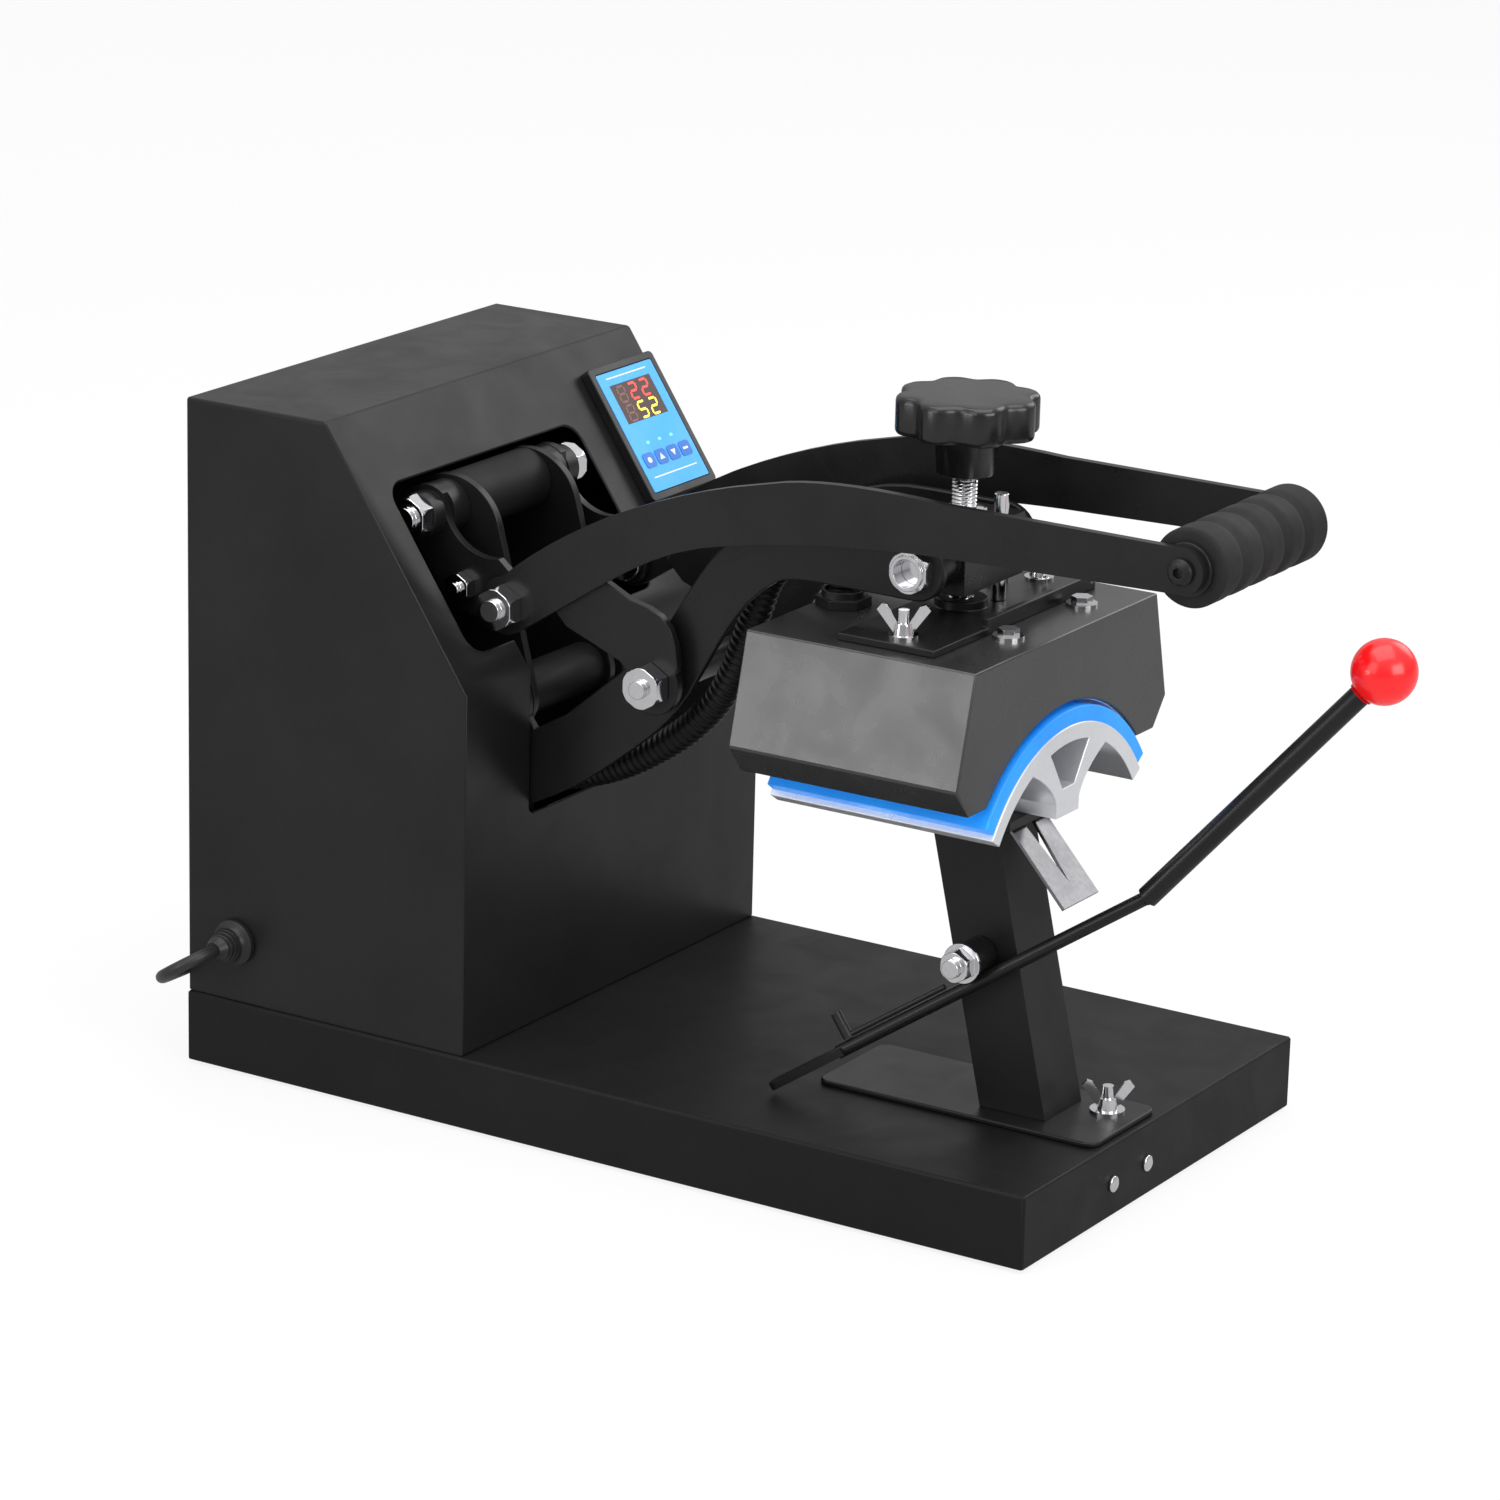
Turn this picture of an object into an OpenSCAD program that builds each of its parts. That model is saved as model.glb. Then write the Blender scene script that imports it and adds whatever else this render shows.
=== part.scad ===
// Cap heat press: a clamshell press with an arched heated head over an arched rubber-faced platen.
// X runs side to side, front is -Y, Z is up. The origin is the middle of the underside.

/* [Base] */
// Width of the base pan
base_w = 300; // [280:5:340]
// Length of the base pan, front to back
base_l = 540; // [530:5:600]
// Height of the top of the base pan
base_h = 43; // [36:1:56]
// Thickness of the folded sheet steel
sheet_t = 2; // [1.5:0.5:3]
// Thickness of the flat cover under the pan
cover_t = 2; // [1.5:0.5:3]

/* [Housing] */
// Depth of the rear housing
house_d = 187; // [180:1:210]
// Height of the housing above the pan
house_h = 341; // [330:1:370]
// Height of the upright part of the housing's front
house_front_h = 204; // [190:1:215]
// Depth of the housing's flat top
house_top_d = 93; // [80:1:105]
// Step of the housing inside the base on each side
house_inset = 2; // [0:1:6]
// Radius of the folded edges
fold_r = 2; // [1:0.5:4]

/* [Linkage] */
// Place of the mechanism's middle plane, from the middle of the base
mech_x = -35; // [-45:1:-25]
// Thickness of the arm and link plates
plate_t = 5; // [4:0.5:6]
// Half of the gap between the two frame plates
frame_half = 35; // [32:1:38]
// Arm pivot, behind the housing's front
arm_pivot_back = 23; // [22:0.5:26]
// Arm pivot, above the pan
arm_pivot_up = 183; // [180:1:186]
// Link axle, behind the housing's front
link_axle_back = 64; // [62:0.5:66]
// Link axle, above the pan
link_axle_up = 285; // [284:1:287]
// Reach of the head's cross shaft in front of the housing
head_reach = 237; // [232:1:242]
// Height of the head's cross shaft above the pan
head_up = 300; // [298:1:303]
// Diameter of the pivot bolts in the arms
bolt_d = 12; // [10:1:13]
// Diameter of the two main axles
axle_d = 16; // [14:1:18]
// Width across the flats of the big pivot nuts
nut_af = 22; // [19:1:24]

/* [Handle] */
// Reach of the grip in front of the housing
grip_reach = 400; // [390:1:420]
// Diameter of the foam grip
grip_d = 42; // [36:1:44]
// Width of the handle arms at the grip
hand_w = 24; // [20:1:28]

/* [Heated head] */
// Length of the head, front to back
head_l = 138; // [130:1:146]
// Width of the head's top
head_top_w = 193; // [185:1:205]
// Width of the head at its widest
head_wide_w = 223; // [215:1:235]
// Thickness of the heated casting
heater_t = 14; // [10:1:18]
// Diameter of the star knob
knob_d = 77; // [68:1:84]
// Number of lobes of the star knob
knob_lobes = 8; // [5:1:10]
// Diameter of the threaded spindle
spindle_d = 14; // [12:1:16]
// Outer diameter of the ribbed conduit
conduit_d = 17; // [14:0.5:18]

/* [Lower platen] */
// Outer radius of the rubber face
pad_r = 103; // [98:1:108]
// Thickness of the rubber face
pad_t = 8.5; // [5:0.5:9]
// Thickness of the arched casting
arch_t = 9; // [6:0.5:10]
// Length of the platen, front to back
platen_l = 135; // [125:1:145]
// Side of the square post
post_s = 40; // [34:1:44]
// Backward lean of the post
post_lean = 13; // [8:1:16]

/* [Lever] */
// Diameter of the lever's ball
ball_d = 35; // [30:1:40]
// Diameter of the lever's rod
rod_d = 7.5; // [7:0.5:10]
// Diameter of the lever's stout end
stout_d = 12; // [10:0.5:14]

/* [Mains cord] */
// Diameter of the mains cord
cord_d = 7; // [6:0.1:7.2]

/* [Hidden] */
$fn = 48;
// Running gap between moving faces, and radial clearance of a shaft in its hole
gap = 0.3;
fit = 0.05;

// Places worked out from the housing's front face and the pan's top
y_rear = base_l / 2;
y_face = y_rear - house_d;
y_slope_top = y_rear - house_top_d;
z_pan = base_h;
z_kink = z_pan + house_front_h;
z_top = z_pan + house_h;
house_w = base_w - 2 * house_inset;
slope_angle = atan2(z_top - z_kink, y_slope_top - y_face);

// Pivots as [y, z]
pivot_a = [y_face + arm_pivot_back, z_pan + arm_pivot_up];
pivot_d = [y_face + link_axle_back, z_pan + link_axle_up];
pivot_c = [y_face + 9, z_pan + 242.5];
pivot_b = [y_face - 83, z_pan + 213.5];
pivot_e = [y_face - head_reach, z_pan + head_up];
pivot_s = [pivot_c[0] + 31, pivot_c[1] + 5];
grip_p = [y_face - grip_reach, z_pan + 329.6];

// Plates stand side by side from the middle plane outwards
washer_gap = 4;
elbow_gap = 6;
arm_half = frame_half + plate_t + washer_gap;
hand_half = arm_half + 2 * plate_t + elbow_gap;
bracket_half = hand_half - plate_t;
link_half = bracket_half - gap;
slot_half = arm_half + plate_t + 2.5;
open_half = hand_half + plate_t + 25;
nut_h = 11;
open_pivot_play = 5.1;
upper_half = 70;
window_from = 20;
window_to = 122.5;
ear_p = [y_face + 63, z_pan + 269];
ear_r = 33.5;

// Head and platen share one arch, seen from the front
arch_up = 122;
z_arch = z_pan + arch_up;
head_gap = 2;
head_r = pad_r + head_gap;
head_y0 = pivot_e[0] - 65.5;
head_y1 = head_y0 + head_l;
platen_y0 = head_y0 - 3.5;
platen_y1 = platen_y0 + platen_l;
z_head_top = z_arch + 144.5;
z_head_wide = z_arch + 84.5;
z_head_low = z_arch + 68.5;
head_low_w = head_top_w + 4.6;
shell_t = 2;
pad_angle = 55;
platen_foot_w = 24;
z_platen_foot = z_arch + 46;

// Post, its foot plate and the bracket on top
foot_plate_t = 3;
z_foot = z_pan + foot_plate_t;
bracket_t = 6;
z_post_top = z_platen_foot - bracket_t;
post_y = platen_y0 + 18;
post_run = (z_post_top - z_foot) * tan(post_lean);

// Lever
lever_y = post_y + 19;
lever_z = z_pan + 89;
sleeve_d = 19;
sleeve_l = 19.5;
leaf_w = 11;
leaf_t = 4;
leaf_l = 48;
lever_bend = [mech_x - 7, lever_y - 90, lever_z + 45.5];
lever_tail = [mech_x - 62, lever_y + 103, z_pan + rod_d / 2 + gap];
ball_p = [mech_x + 29, lever_y - 201, lever_z + 179];

// Controller on the slope
panel_w = 66;
panel_l = 84;
panel_x = base_w / 2 - 36;
panel_down = 19;
bezel_t = 6;

// Mains cord: gland, route, coil and plug
gland_y = y_rear - 33;
gland_z = z_pan + 35;
gland_l = 21;
house_side = house_w / 2;
cord_r = cord_d / 2;
cord_route = [
  [-169, 237, 78], [-178, 237, 78], [-187, 237, 78], [-195.5, 238, 77.6], [-203, 241.2, 76.6],
  [-207.4, 247.5, 75], [-208, 255.5, 73], [-205.5, 263.5, 70.8], [-199.5, 270.5, 68.4],
  [-190, 276.5, 65.6], [-177, 281.3, 62.6], [-163, 285, 59.5], [-148, 287, 56], [-132, 288, 51.5],
  [-116, 288.5, 45], [-101, 289, 35], [-88, 290.5, 23.5], [-76, 293, 13.5], [-63, 296.5, 6.5],
  [-49, 300, 3.8], [-33, 303, 3.8], [-16, 305, 3.8], [2, 305, 3.8], [22, 305, 3.8], [46, 305, 3.8],
  [70, 305, 3.8]
];
coil_c = [78, 343];
coil_r = 38;
coil_pitch = 7.8;
coil_turns = 4;
tail_steps = [[12, -0.5, 34.9], [24, -1, 34.2], [36, -1.5, 30.6], [47, -2, 24.4], [58, -2, 17.6],
  [69, -2, 12.6], [80, -2, 11], [88, -2, 11]];
plug_l = 38;
plug_s = 22;

black = [0.13, 0.13, 0.14];
dark = [0.2, 0.2, 0.21];
chrome = [0.8, 0.8, 0.82];
rubber_blue = [0.05, 0.6, 1];
casting = [0.88, 0.89, 0.92];

// Extrudes a side view, drawn as y and z, along X from x0
module side_plate(x0, t) translate([x0, 0, 0]) rotate([90, 0, 90]) linear_extrude(t) children();
// Extrudes a front view, drawn as x and z, backwards from y0
module front_plate(y0, t) translate([0, y0 + t, 0]) rotate([90, 0, 0]) linear_extrude(t) children();
// Round bar along X
module bar_x(x0, len, p, d) translate([x0, p[0], p[1]]) rotate([0, 90, 0]) cylinder(h = len, d = d);
// Hexagonal bar along X
module hex_x(x0, len, p, af) translate([x0, p[0], p[1]]) rotate([0, 90, 0])
  cylinder(h = len, d = af / cos(30), $fn = 6);
// Nearer face of a plate on one side of the mechanism
function plate_x(side, half, t = plate_t) = side > 0 ? mech_x + half : mech_x - half - t;

// Flat bar between two circles of different radius, as a 2D outline
module link_outline(p, rp, q, rq) {
  span = norm(q - p);
  along = atan2(q[1] - p[1], q[0] - p[0]);
  lean = acos((rp - rq) / span);
  up = [cos(along + lean), sin(along + lean)];
  down = [cos(along - lean), sin(along - lean)];
  translate(p) circle(rp);
  translate(q) circle(rq);
  polygon([p + rp * up, p + rp * down, q + rq * down, q + rq * up]);
}

// Point on a cubic curve through four guides
function curve_at(a, b, c, d, t) =
  a * pow(1 - t, 3) + 3 * b * t * pow(1 - t, 2) + 3 * c * t * t * (1 - t) + d * pow(t, 3);
function curve(a, b, c, d, n = 10) = [for (i = [0 : n]) curve_at(a, b, c, d, i / n)];
// Points on an arc about a centre, from one angle to another
function arc(c, r, from, to, n = 12) = [for (i = [0 : n]) let (a = from + (to - from) * i / n)
  c + r * [cos(a), sin(a)]];

// Rectangle with its upper corners rounded, base on y = 0
module round_top(w, h, r) {
  translate([-w / 2, 0]) square([w, h - r]);
  translate([-w / 2 + r, 0]) square([w - 2 * r, h]);
  for (s = [-1, 1]) translate([s * (w / 2 - r), h - r]) circle(r);
}
module round_square(w, l, r) {
  square([w - 2 * r, l], center = true);
  square([w, l - 2 * r], center = true);
  for (sx = [-1, 1], sy = [-1, 1]) translate([sx * (w / 2 - r), sy * (l / 2 - r)]) circle(r);
}

// Tube swept through points: one ring of n corners at each point, radii in a list
function unit(v) = v / norm(v);
function tangents(p) = [for (i = [0 : len(p) - 1])
  unit(p[min(i + 1, len(p) - 1)] - p[max(i - 1, 0)])];
function carry(t, first) = [for (i = 0, u = unit(first - (first * t[0]) * t[0]); i < len(t);
  i = i + 1, u = i < len(t) ? unit(u - (u * t[i]) * t[i]) : u) u];
function rings(p, r, n, first) = let (t = tangents(p), u = carry(t, first))
  [for (i = [0 : len(p) - 1], k = [0 : n - 1]) let (v = cross(t[i], u[i]), a = (k + 0.5) * 360 / n)
    p[i] + r[i] * (cos(a) * u[i] + sin(a) * v)];
function walls(m, n) = [for (i = [0 : m - 2], k = [0 : n - 1]) each let (j = (k + 1) % n)
  [[i * n + k, i * n + j, (i + 1) * n + j], [i * n + k, (i + 1) * n + j, (i + 1) * n + k]]];
module tube_solid(p, r, n, first) {
  m = len(p);
  polyhedron(rings(p, r, n, first), concat(walls(m, n),
    [[for (k = [n - 1 : -1 : 0]) k]], [[for (k = [0 : n - 1]) (m - 1) * n + k]]));
}

// Nut on an X axle: hexagon, collar and the rounded end of its bolt
module nut_end(p, x, dir, af, h, d) {
  x0 = dir > 0 ? x : x - h;
  intersection() {
    hex_x(x0, h, p, af);
    translate([x0 + h / 2, p[0], p[1]]) rotate([0, 90 * dir, 0])
      cylinder(h = h, r1 = af / 2 + 2.4, r2 = af / 2 + 0.4, center = true);
  }
  bar_x(dir > 0 ? x + h : x - h - 3.5, 3.5, p, d);
}

/* Base */
module pan_form(w, l, h, r) {
  intersection() {
    linear_extrude(h) round_square(w, l, r);
    translate([0, l / 2, 0]) rotate([90, 0, 0]) linear_extrude(l) round_top(w, h, r);
    translate([-w / 2, 0, 0]) rotate([90, 0, 90]) linear_extrude(w) round_top(l, h, r);
  }
}
rivet_d = 9;
module base_pan() color(black) translate([0, 0, cover_t]) difference() {
  h = base_h - cover_t;
  lip = 16;
  pan_form(base_w, base_l, h, fold_r);
  translate([0, 0, sheet_t]) linear_extrude(h - 2 * sheet_t)
    square([base_w - 2 * sheet_t, base_l - 2 * sheet_t], center = true);
  translate([0, 0, -1]) linear_extrude(h - sheet_t)
    square([base_w - 2 * lip, base_l - 2 * lip], center = true);
}
module base_cover() color(dark) linear_extrude(cover_t)
  round_square(base_w - 12, base_l - 12, 4);
module front_rivets() color(chrome) for (x = [mech_x - 20, mech_x + 17.5])
  translate([x, -base_l / 2, base_h / 2 - 1]) rotate([90, 0, 0]) {
    cylinder(h = 1.6, d = rivet_d);
    translate([0, 0, 1.6]) cylinder(h = 1.2, d1 = rivet_d, d2 = rivet_d * 0.5);
  }

/* Housing */
module house_side_view(inset) {
  y0 = y_face + inset;
  zk = z_kink - inset * tan((90 - slope_angle) / 2);
  polygon([[y0, z_pan], [y_rear, z_pan], [y_rear, z_top - inset],
    [y_slope_top + inset * tan(slope_angle / 2), z_top - inset], [y0, zk]]);
}
module housing_opening() {
  // Wide window for the links in the slope, measured up the slope from the kink
  translate([mech_x, y_face, z_kink]) rotate([slope_angle, 0, 0])
    translate([0, (window_from + window_to) / 2, -30]) linear_extrude(80)
      round_square(2 * open_half, window_to - window_from, 12);
  // Narrow slot for the head arms, through the kink and down the front
  slot_low = z_pan + 123;
  translate([mech_x, y_face - 20, 0]) rotate([-90, 0, 0]) linear_extrude(75) mirror([0, 1])
    translate([0, (slot_low + z_kink + 32) / 2]) round_square(2 * slot_half, z_kink + 32 - slot_low, 4);
}
module housing_shell() color(black) difference() {
  intersection() {
    side_plate(-house_w / 2, house_w) house_side_view(0);
    translate([0, y_rear, z_pan]) rotate([90, 0, 0]) linear_extrude(house_d)
      round_top(house_w, house_h, fold_r);
  }
  side_plate(-house_w / 2 + sheet_t, house_w - 2 * sheet_t) house_side_view(sheet_t);
  translate([-house_w / 2 + sheet_t, y_rear - 20, z_pan - 1])
    cube([house_w - 2 * sheet_t, 21, house_h + 1 - sheet_t]);
  housing_opening();
  bar_x(-house_w / 2 - 1, sheet_t + 2, [gland_y, gland_z], 16);
}
module rear_cover() color(black) difference() {
  translate([-house_w / 2 + sheet_t + gap, y_rear - sheet_t, z_pan])
    cube([house_w - 2 * (sheet_t + gap), sheet_t, house_h - sheet_t - gap]);
  for (s = [-1, 1], i = [0 : 6])
    translate([s * house_w / 4, y_rear - sheet_t - 1, z_pan + 70 + i * 16]) rotate([-90, 0, 0])
      linear_extrude(sheet_t + 2) round_square(70, 5, 2.4);
}
module rear_screws() color(chrome)
  for (sx = [-1, 1], z = [z_pan + 14, z_top - 16]) translate([sx * (house_w / 2 - 12), y_rear, z])
    rotate([-90, 0, 0]) {
      cylinder(h = 1.2, d = 8);
      translate([0, 0, 1.2]) cylinder(h = 1.1, d1 = 8, d2 = 5);
    }

/* Frame plates and axles inside the housing */
module frame_plate(side) color(black) difference() {
  x0 = plate_x(side, frame_half);
  side_plate(x0, plate_t) {
    link_outline(pivot_a, 17.5, ear_p, ear_r);
    polygon([[y_face + 6, z_pan], [y_face + 120, z_pan], ear_p + [26, -8], pivot_a + [-14, 3]]);
  }
  bar_x(x0 - 1, plate_t + 2, pivot_a, axle_d + 2 * fit);
  bar_x(x0 - 1, plate_t + 2, pivot_d, axle_d + 2 * fit);
}
module axle_sleeves() color(black) for (p = [[pivot_a, 28], [pivot_d, 34]]) difference() {
  bar_x(mech_x - frame_half, 2 * frame_half, p[0], p[1]);
  bar_x(mech_x - frame_half - 1, 2 * frame_half + 2, p[0], axle_d + 2 * fit);
}
module pivot_washers() color(chrome) for (s = [-1, 1]) difference() {
  w = washer_gap - gap;
  bar_x(plate_x(s, frame_half + plate_t, w), w, pivot_a, 28);
  bar_x(plate_x(s, frame_half + plate_t, w) - 1, w + 2, pivot_a, axle_d + 2 * fit);
}
module through_axle(p, half, d, af, h) {
  bar_x(mech_x - half, 2 * half, p, d);
  for (s = [-1, 1]) nut_end(p, mech_x + s * half, s, af, h, d - 2);
}
module upper_axle() color(chrome) through_axle(pivot_d, upper_half, axle_d, nut_af, 9.5);
module lower_axle() color(chrome) through_axle(pivot_a, arm_half + plate_t + gap, axle_d, nut_af, 9);

/* Controller */
module on_slope() translate([panel_x, y_slope_top, z_top]) rotate([slope_angle, 0, 0])
  translate([0, -panel_down - panel_l / 2, 0]) children();
module control_bezel() color(black) on_slope() difference() {
  linear_extrude(bezel_t) round_square(panel_w, panel_l, 3);
  translate([0, 0, bezel_t - 1]) linear_extrude(2) round_square(panel_w - 9, panel_l - 9, 1.5);
}
window_w = 41;
window_l = 24.5;
window_y = 17;
module control_panel() color([0.25, 0.68, 1]) on_slope() translate([0, 0, bezel_t - 1]) difference() {
  linear_extrude(0.9) round_square(panel_w - 9.6, panel_l - 9.6, 1.2);
  translate([0, window_y, 0.3]) linear_extrude(1) square([window_w, window_l], center = true);
}
module display_window() color([0.25, 0.08, 0.04]) on_slope() translate([0, window_y, bezel_t - 0.7])
  linear_extrude(0.5) square([window_w - 0.4, window_l - 0.4], center = true);

/* Mains cord */
module cable_gland() color(black)
translate([-house_side, gland_y, gland_z]) rotate([0, -90, 0]) difference() {
  rotate_extrude() polygon([[0, -sheet_t - 3], [7.8, -sheet_t - 3], [7.8, 0], [13, 0], [13, 4], [11, 6.5],
    [9, 7.2], [9, 9.6], [8, 9.9], [8, 12.6], [7, 12.9], [7, 15.6], [6, 16], [5.4, gland_l], [0, gland_l]]);
  translate([0, 0, -sheet_t - 4]) cylinder(h = gland_l + 6, d = cord_d + 2 * fit);
}
module cord() color(black) tube_solid(cord_route, [for (p = cord_route) cord_r], 10, [0, 0, 1]);
// Coil: even loops stacked one on another, then a tail that comes down to the plug
function coil_point(t) = let (a = -90 + t * 360)
  [coil_c[0] + coil_r * cos(a), coil_c[1] + coil_r * sin(a), 3.8 + coil_pitch * t];
coil_start = [coil_c[0], coil_c[1] - coil_r];
coil_path = concat([cord_route[len(cord_route) - 1]], [for (i = [0 : coil_turns * 24]) coil_point(i / 24)],
  [for (q = tail_steps) [coil_start[0] + q[0], coil_start[1] + q[1], q[2]]]);
coil_least = min([for (i = [0 : len(coil_path) - 13], j = [i + 12 : len(coil_path) - 1])
  norm(coil_path[i] - coil_path[j])]) - cord_d;
function path_length(p) = [for (i = 0, t = 0; i < len(p); t = t + (i < len(p) - 1
  ? norm(p[i + 1] - p[i]) : 0), i = i + 1) t][len(p) - 1];
echo(coil_least_gap = coil_least, cord_length = path_length(cord_route) + path_length(coil_path));
module cord_coil() color(black) tube_solid(coil_path, [for (p = coil_path) cord_r], 6, [0, 0, 1]);
module plug() color(black) {
  e = coil_path[len(coil_path) - 1] + [gap, 0, 0];
  translate([e[0], e[1], plug_s / 2]) rotate([0, 90, 0])
    linear_extrude(plug_l) round_square(plug_s, plug_s + 4, 4);
  for (s = [-1, 1]) translate([e[0] + plug_l, e[1] + s * 6.4 - 0.75, plug_s / 2 - 0.5])
    cube([17, 1.5, 6.4]);
  translate([e[0] + plug_l, e[1], plug_s / 2 - 6]) rotate([0, 90, 0]) cylinder(h = 20, d = 4.8);
}

/* Post and platen */
module foot_plate() color(black) translate([mech_x, (platen_y0 - 43 + platen_y0 + 128) / 2, z_pan])
  linear_extrude(foot_plate_t) round_square(70, 171, 7);
wing_y = platen_y0 - 24;
module wing_nut() {
  cylinder(h = 6, d1 = 11, d2 = 9);
  for (s = [-1, 1]) rotate([90, 0, 0]) translate([0, 0, -1.3]) linear_extrude(2.6)
    polygon([[s * 3, 1], [s * 5, 0.8], [s * 14, 13], [s * 11.5, 16], [s * 8.5, 15], [s * 3, 6]]);
  cylinder(h = 13, d = 6);
}
module foot_wing_nut() color(chrome) translate([mech_x + 14, wing_y, z_foot]) {
  cylinder(h = 1.5, d = 19);
  translate([0, 0, 1.5]) rotate([0, 0, -58]) wing_nut();
}
module post() color(black) difference() {
  side_plate(mech_x - post_s / 2, post_s)
    polygon([[post_y - 23, z_foot], [post_y - 23 + post_s, z_foot],
      [post_y - 23 + post_s + post_run, z_post_top], [post_y - 23 + post_run, z_post_top]]);
  side_plate(mech_x - post_s / 2 + 2, post_s - 4)
    polygon([[post_y - 21, z_foot - 1], [post_y - 25 + post_s, z_foot - 1],
      [post_y - 25 + post_s + post_run, z_post_top + 1], [post_y - 21 + post_run, z_post_top + 1]]);
  bar_x(mech_x - post_s / 2 - 1, post_s + 2, [lever_y, lever_z], 10 + 2 * fit);
}
bracket_front = post_y + post_run - 37;
module platen_bracket() color(black)
  translate([mech_x - 30, bracket_front, z_post_top]) cube([60, 74, bracket_t]);
module ring_sector(r0, r1, half) {
  // Arch band centred on +z, as a front view
  intersection() {
    difference() {
      circle(r1, $fn = 180);
      circle(r0, $fn = 180);
    }
    polygon([[0, 0], [-2 * r1 * sin(half), 2 * r1 * cos(half)], [-2 * r1, 2 * r1 + 10],
      [2 * r1, 2 * r1 + 10], [2 * r1 * sin(half), 2 * r1 * cos(half)]]);
  }
}
platen_r = pad_r - pad_t - 0.05;
module platen() color(casting) translate([mech_x, 0, z_arch]) {
  front_plate(platen_y0, platen_l) ring_sector(platen_r - arch_t, platen_r, pad_angle + 2);
  for (s = [-1, 1]) front_plate(platen_y0, platen_l)
    polygon([for (q = concat(curve([platen_foot_w / 2 - 1, 50], [13, 60], [22, 69], [47, 80], 8),
      curve([24, 88], [18, 80], [11, 69], [6, 61], 8), [[6, 50]])) [s * q[0], q[1]]]);
  front_plate(platen_y0, platen_l)
    translate([-platen_foot_w / 2, 46]) square([platen_foot_w, 15.5]);
}
module silicone_pad() color(rubber_blue) front_plate(platen_y0 + 1, platen_l - 2)
  translate([mech_x, z_arch]) ring_sector(pad_r - pad_t, pad_r, pad_angle);
hook_w = 37;
hook_run = 53;
hook_slope = 48;
notch_half = 5.3;
notch_foot = 12.8;
module brim_hook() color([0.45, 0.45, 0.47]) {
  z0 = z_post_top - 0.3;
  y0 = bracket_front + 7;
  translate([mech_x, y0, z0]) rotate([180 + hook_slope, 0, 0]) linear_extrude(2)
    polygon([[-hook_w / 2, 0], [-notch_half, 0], [0, hook_run - notch_foot], [notch_half, 0],
      [hook_w / 2, 0], [hook_w / 2, hook_run], [-hook_w / 2, hook_run]]);
}

/* Cap tension lever */
module lever_pivot_bolt() color(chrome) {
  x_nut = mech_x - post_s / 2 - gap - sleeve_l - gap - 2;
  bar_x(x_nut - 12, mech_x + post_s / 2 - x_nut + 12, [lever_y, lever_z], 10);
  difference() {
    bar_x(x_nut, 2, [lever_y, lever_z], 22);
    bar_x(x_nut - 1, 4, [lever_y, lever_z], 9);
  }
  nut_end([lever_y, lever_z], x_nut, -1, 16, 8, 8);
  hex_x(mech_x + post_s / 2, 6.5, [lever_y, lever_z], 17);
}
module lever_sleeve() color(black) difference() {
  bar_x(mech_x - post_s / 2 - gap - sleeve_l, sleeve_l, [lever_y, lever_z], sleeve_d);
  bar_x(mech_x - post_s / 2 - gap - sleeve_l - 1, sleeve_l + 2, [lever_y, lever_z], 10 + 2 * fit);
}
// Bar from one point to another
module bar_between(p, q, d0, d1) {
  v = q - p;
  translate(p) rotate([0, acos(v[2] / norm(v)), atan2(v[1], v[0])]) cylinder(h = norm(v), d1 = d0, d2 = d1);
}
// Flattened tail of the lever
module lever_leaf() {
  v = lever_bend - lever_tail;
  translate(lever_tail) rotate([0, acos(v[2] / norm(v)), atan2(v[1], v[0])])
    translate([-leaf_t / 2, 0, 0]) rotate([90, 0, 90]) linear_extrude(leaf_t) {
      translate([0, leaf_w / 2]) circle(leaf_w / 2);
      translate([-leaf_w / 2, leaf_w / 2 + 0.5]) square([leaf_w, leaf_l - leaf_w / 2 - 0.5]);
    }
}
module lever_rod() color(dark) difference() {
  union() {
    bar_between(lever_tail + unit(lever_bend - lever_tail) * (leaf_l - 4), lever_bend, rod_d, rod_d);
    lever_leaf();
    translate(lever_bend) sphere(d = rod_d + 1);
    bar_between(lever_bend, ball_p, stout_d, stout_d);
  }
  bar_x(mech_x - post_s / 2 - 60, 70, [lever_y, lever_z], sleeve_d + 2 * fit);
  translate(ball_p) sphere(d = ball_d + 0.2);
}
module lever_ball() color([0.9, 0.1, 0.12]) translate(ball_p) sphere(d = ball_d, $fn = 64);
module lever_strap() color([0.5, 0.5, 0.52]) {
  along = lever_tail - lever_bend;
  p = lever_bend + along * 0.52 + [0, 2.6, rod_d / 2 + 1.5];
  q = lever_bend + along * 0.78 + [0, 2.6, rod_d / 2 + 1.5];
  bar_between(p, q, 3, 3);
  bar_between(q + [0, -0.6, -1.2], q + [0, 8, 11], 6, 6);
}

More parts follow.
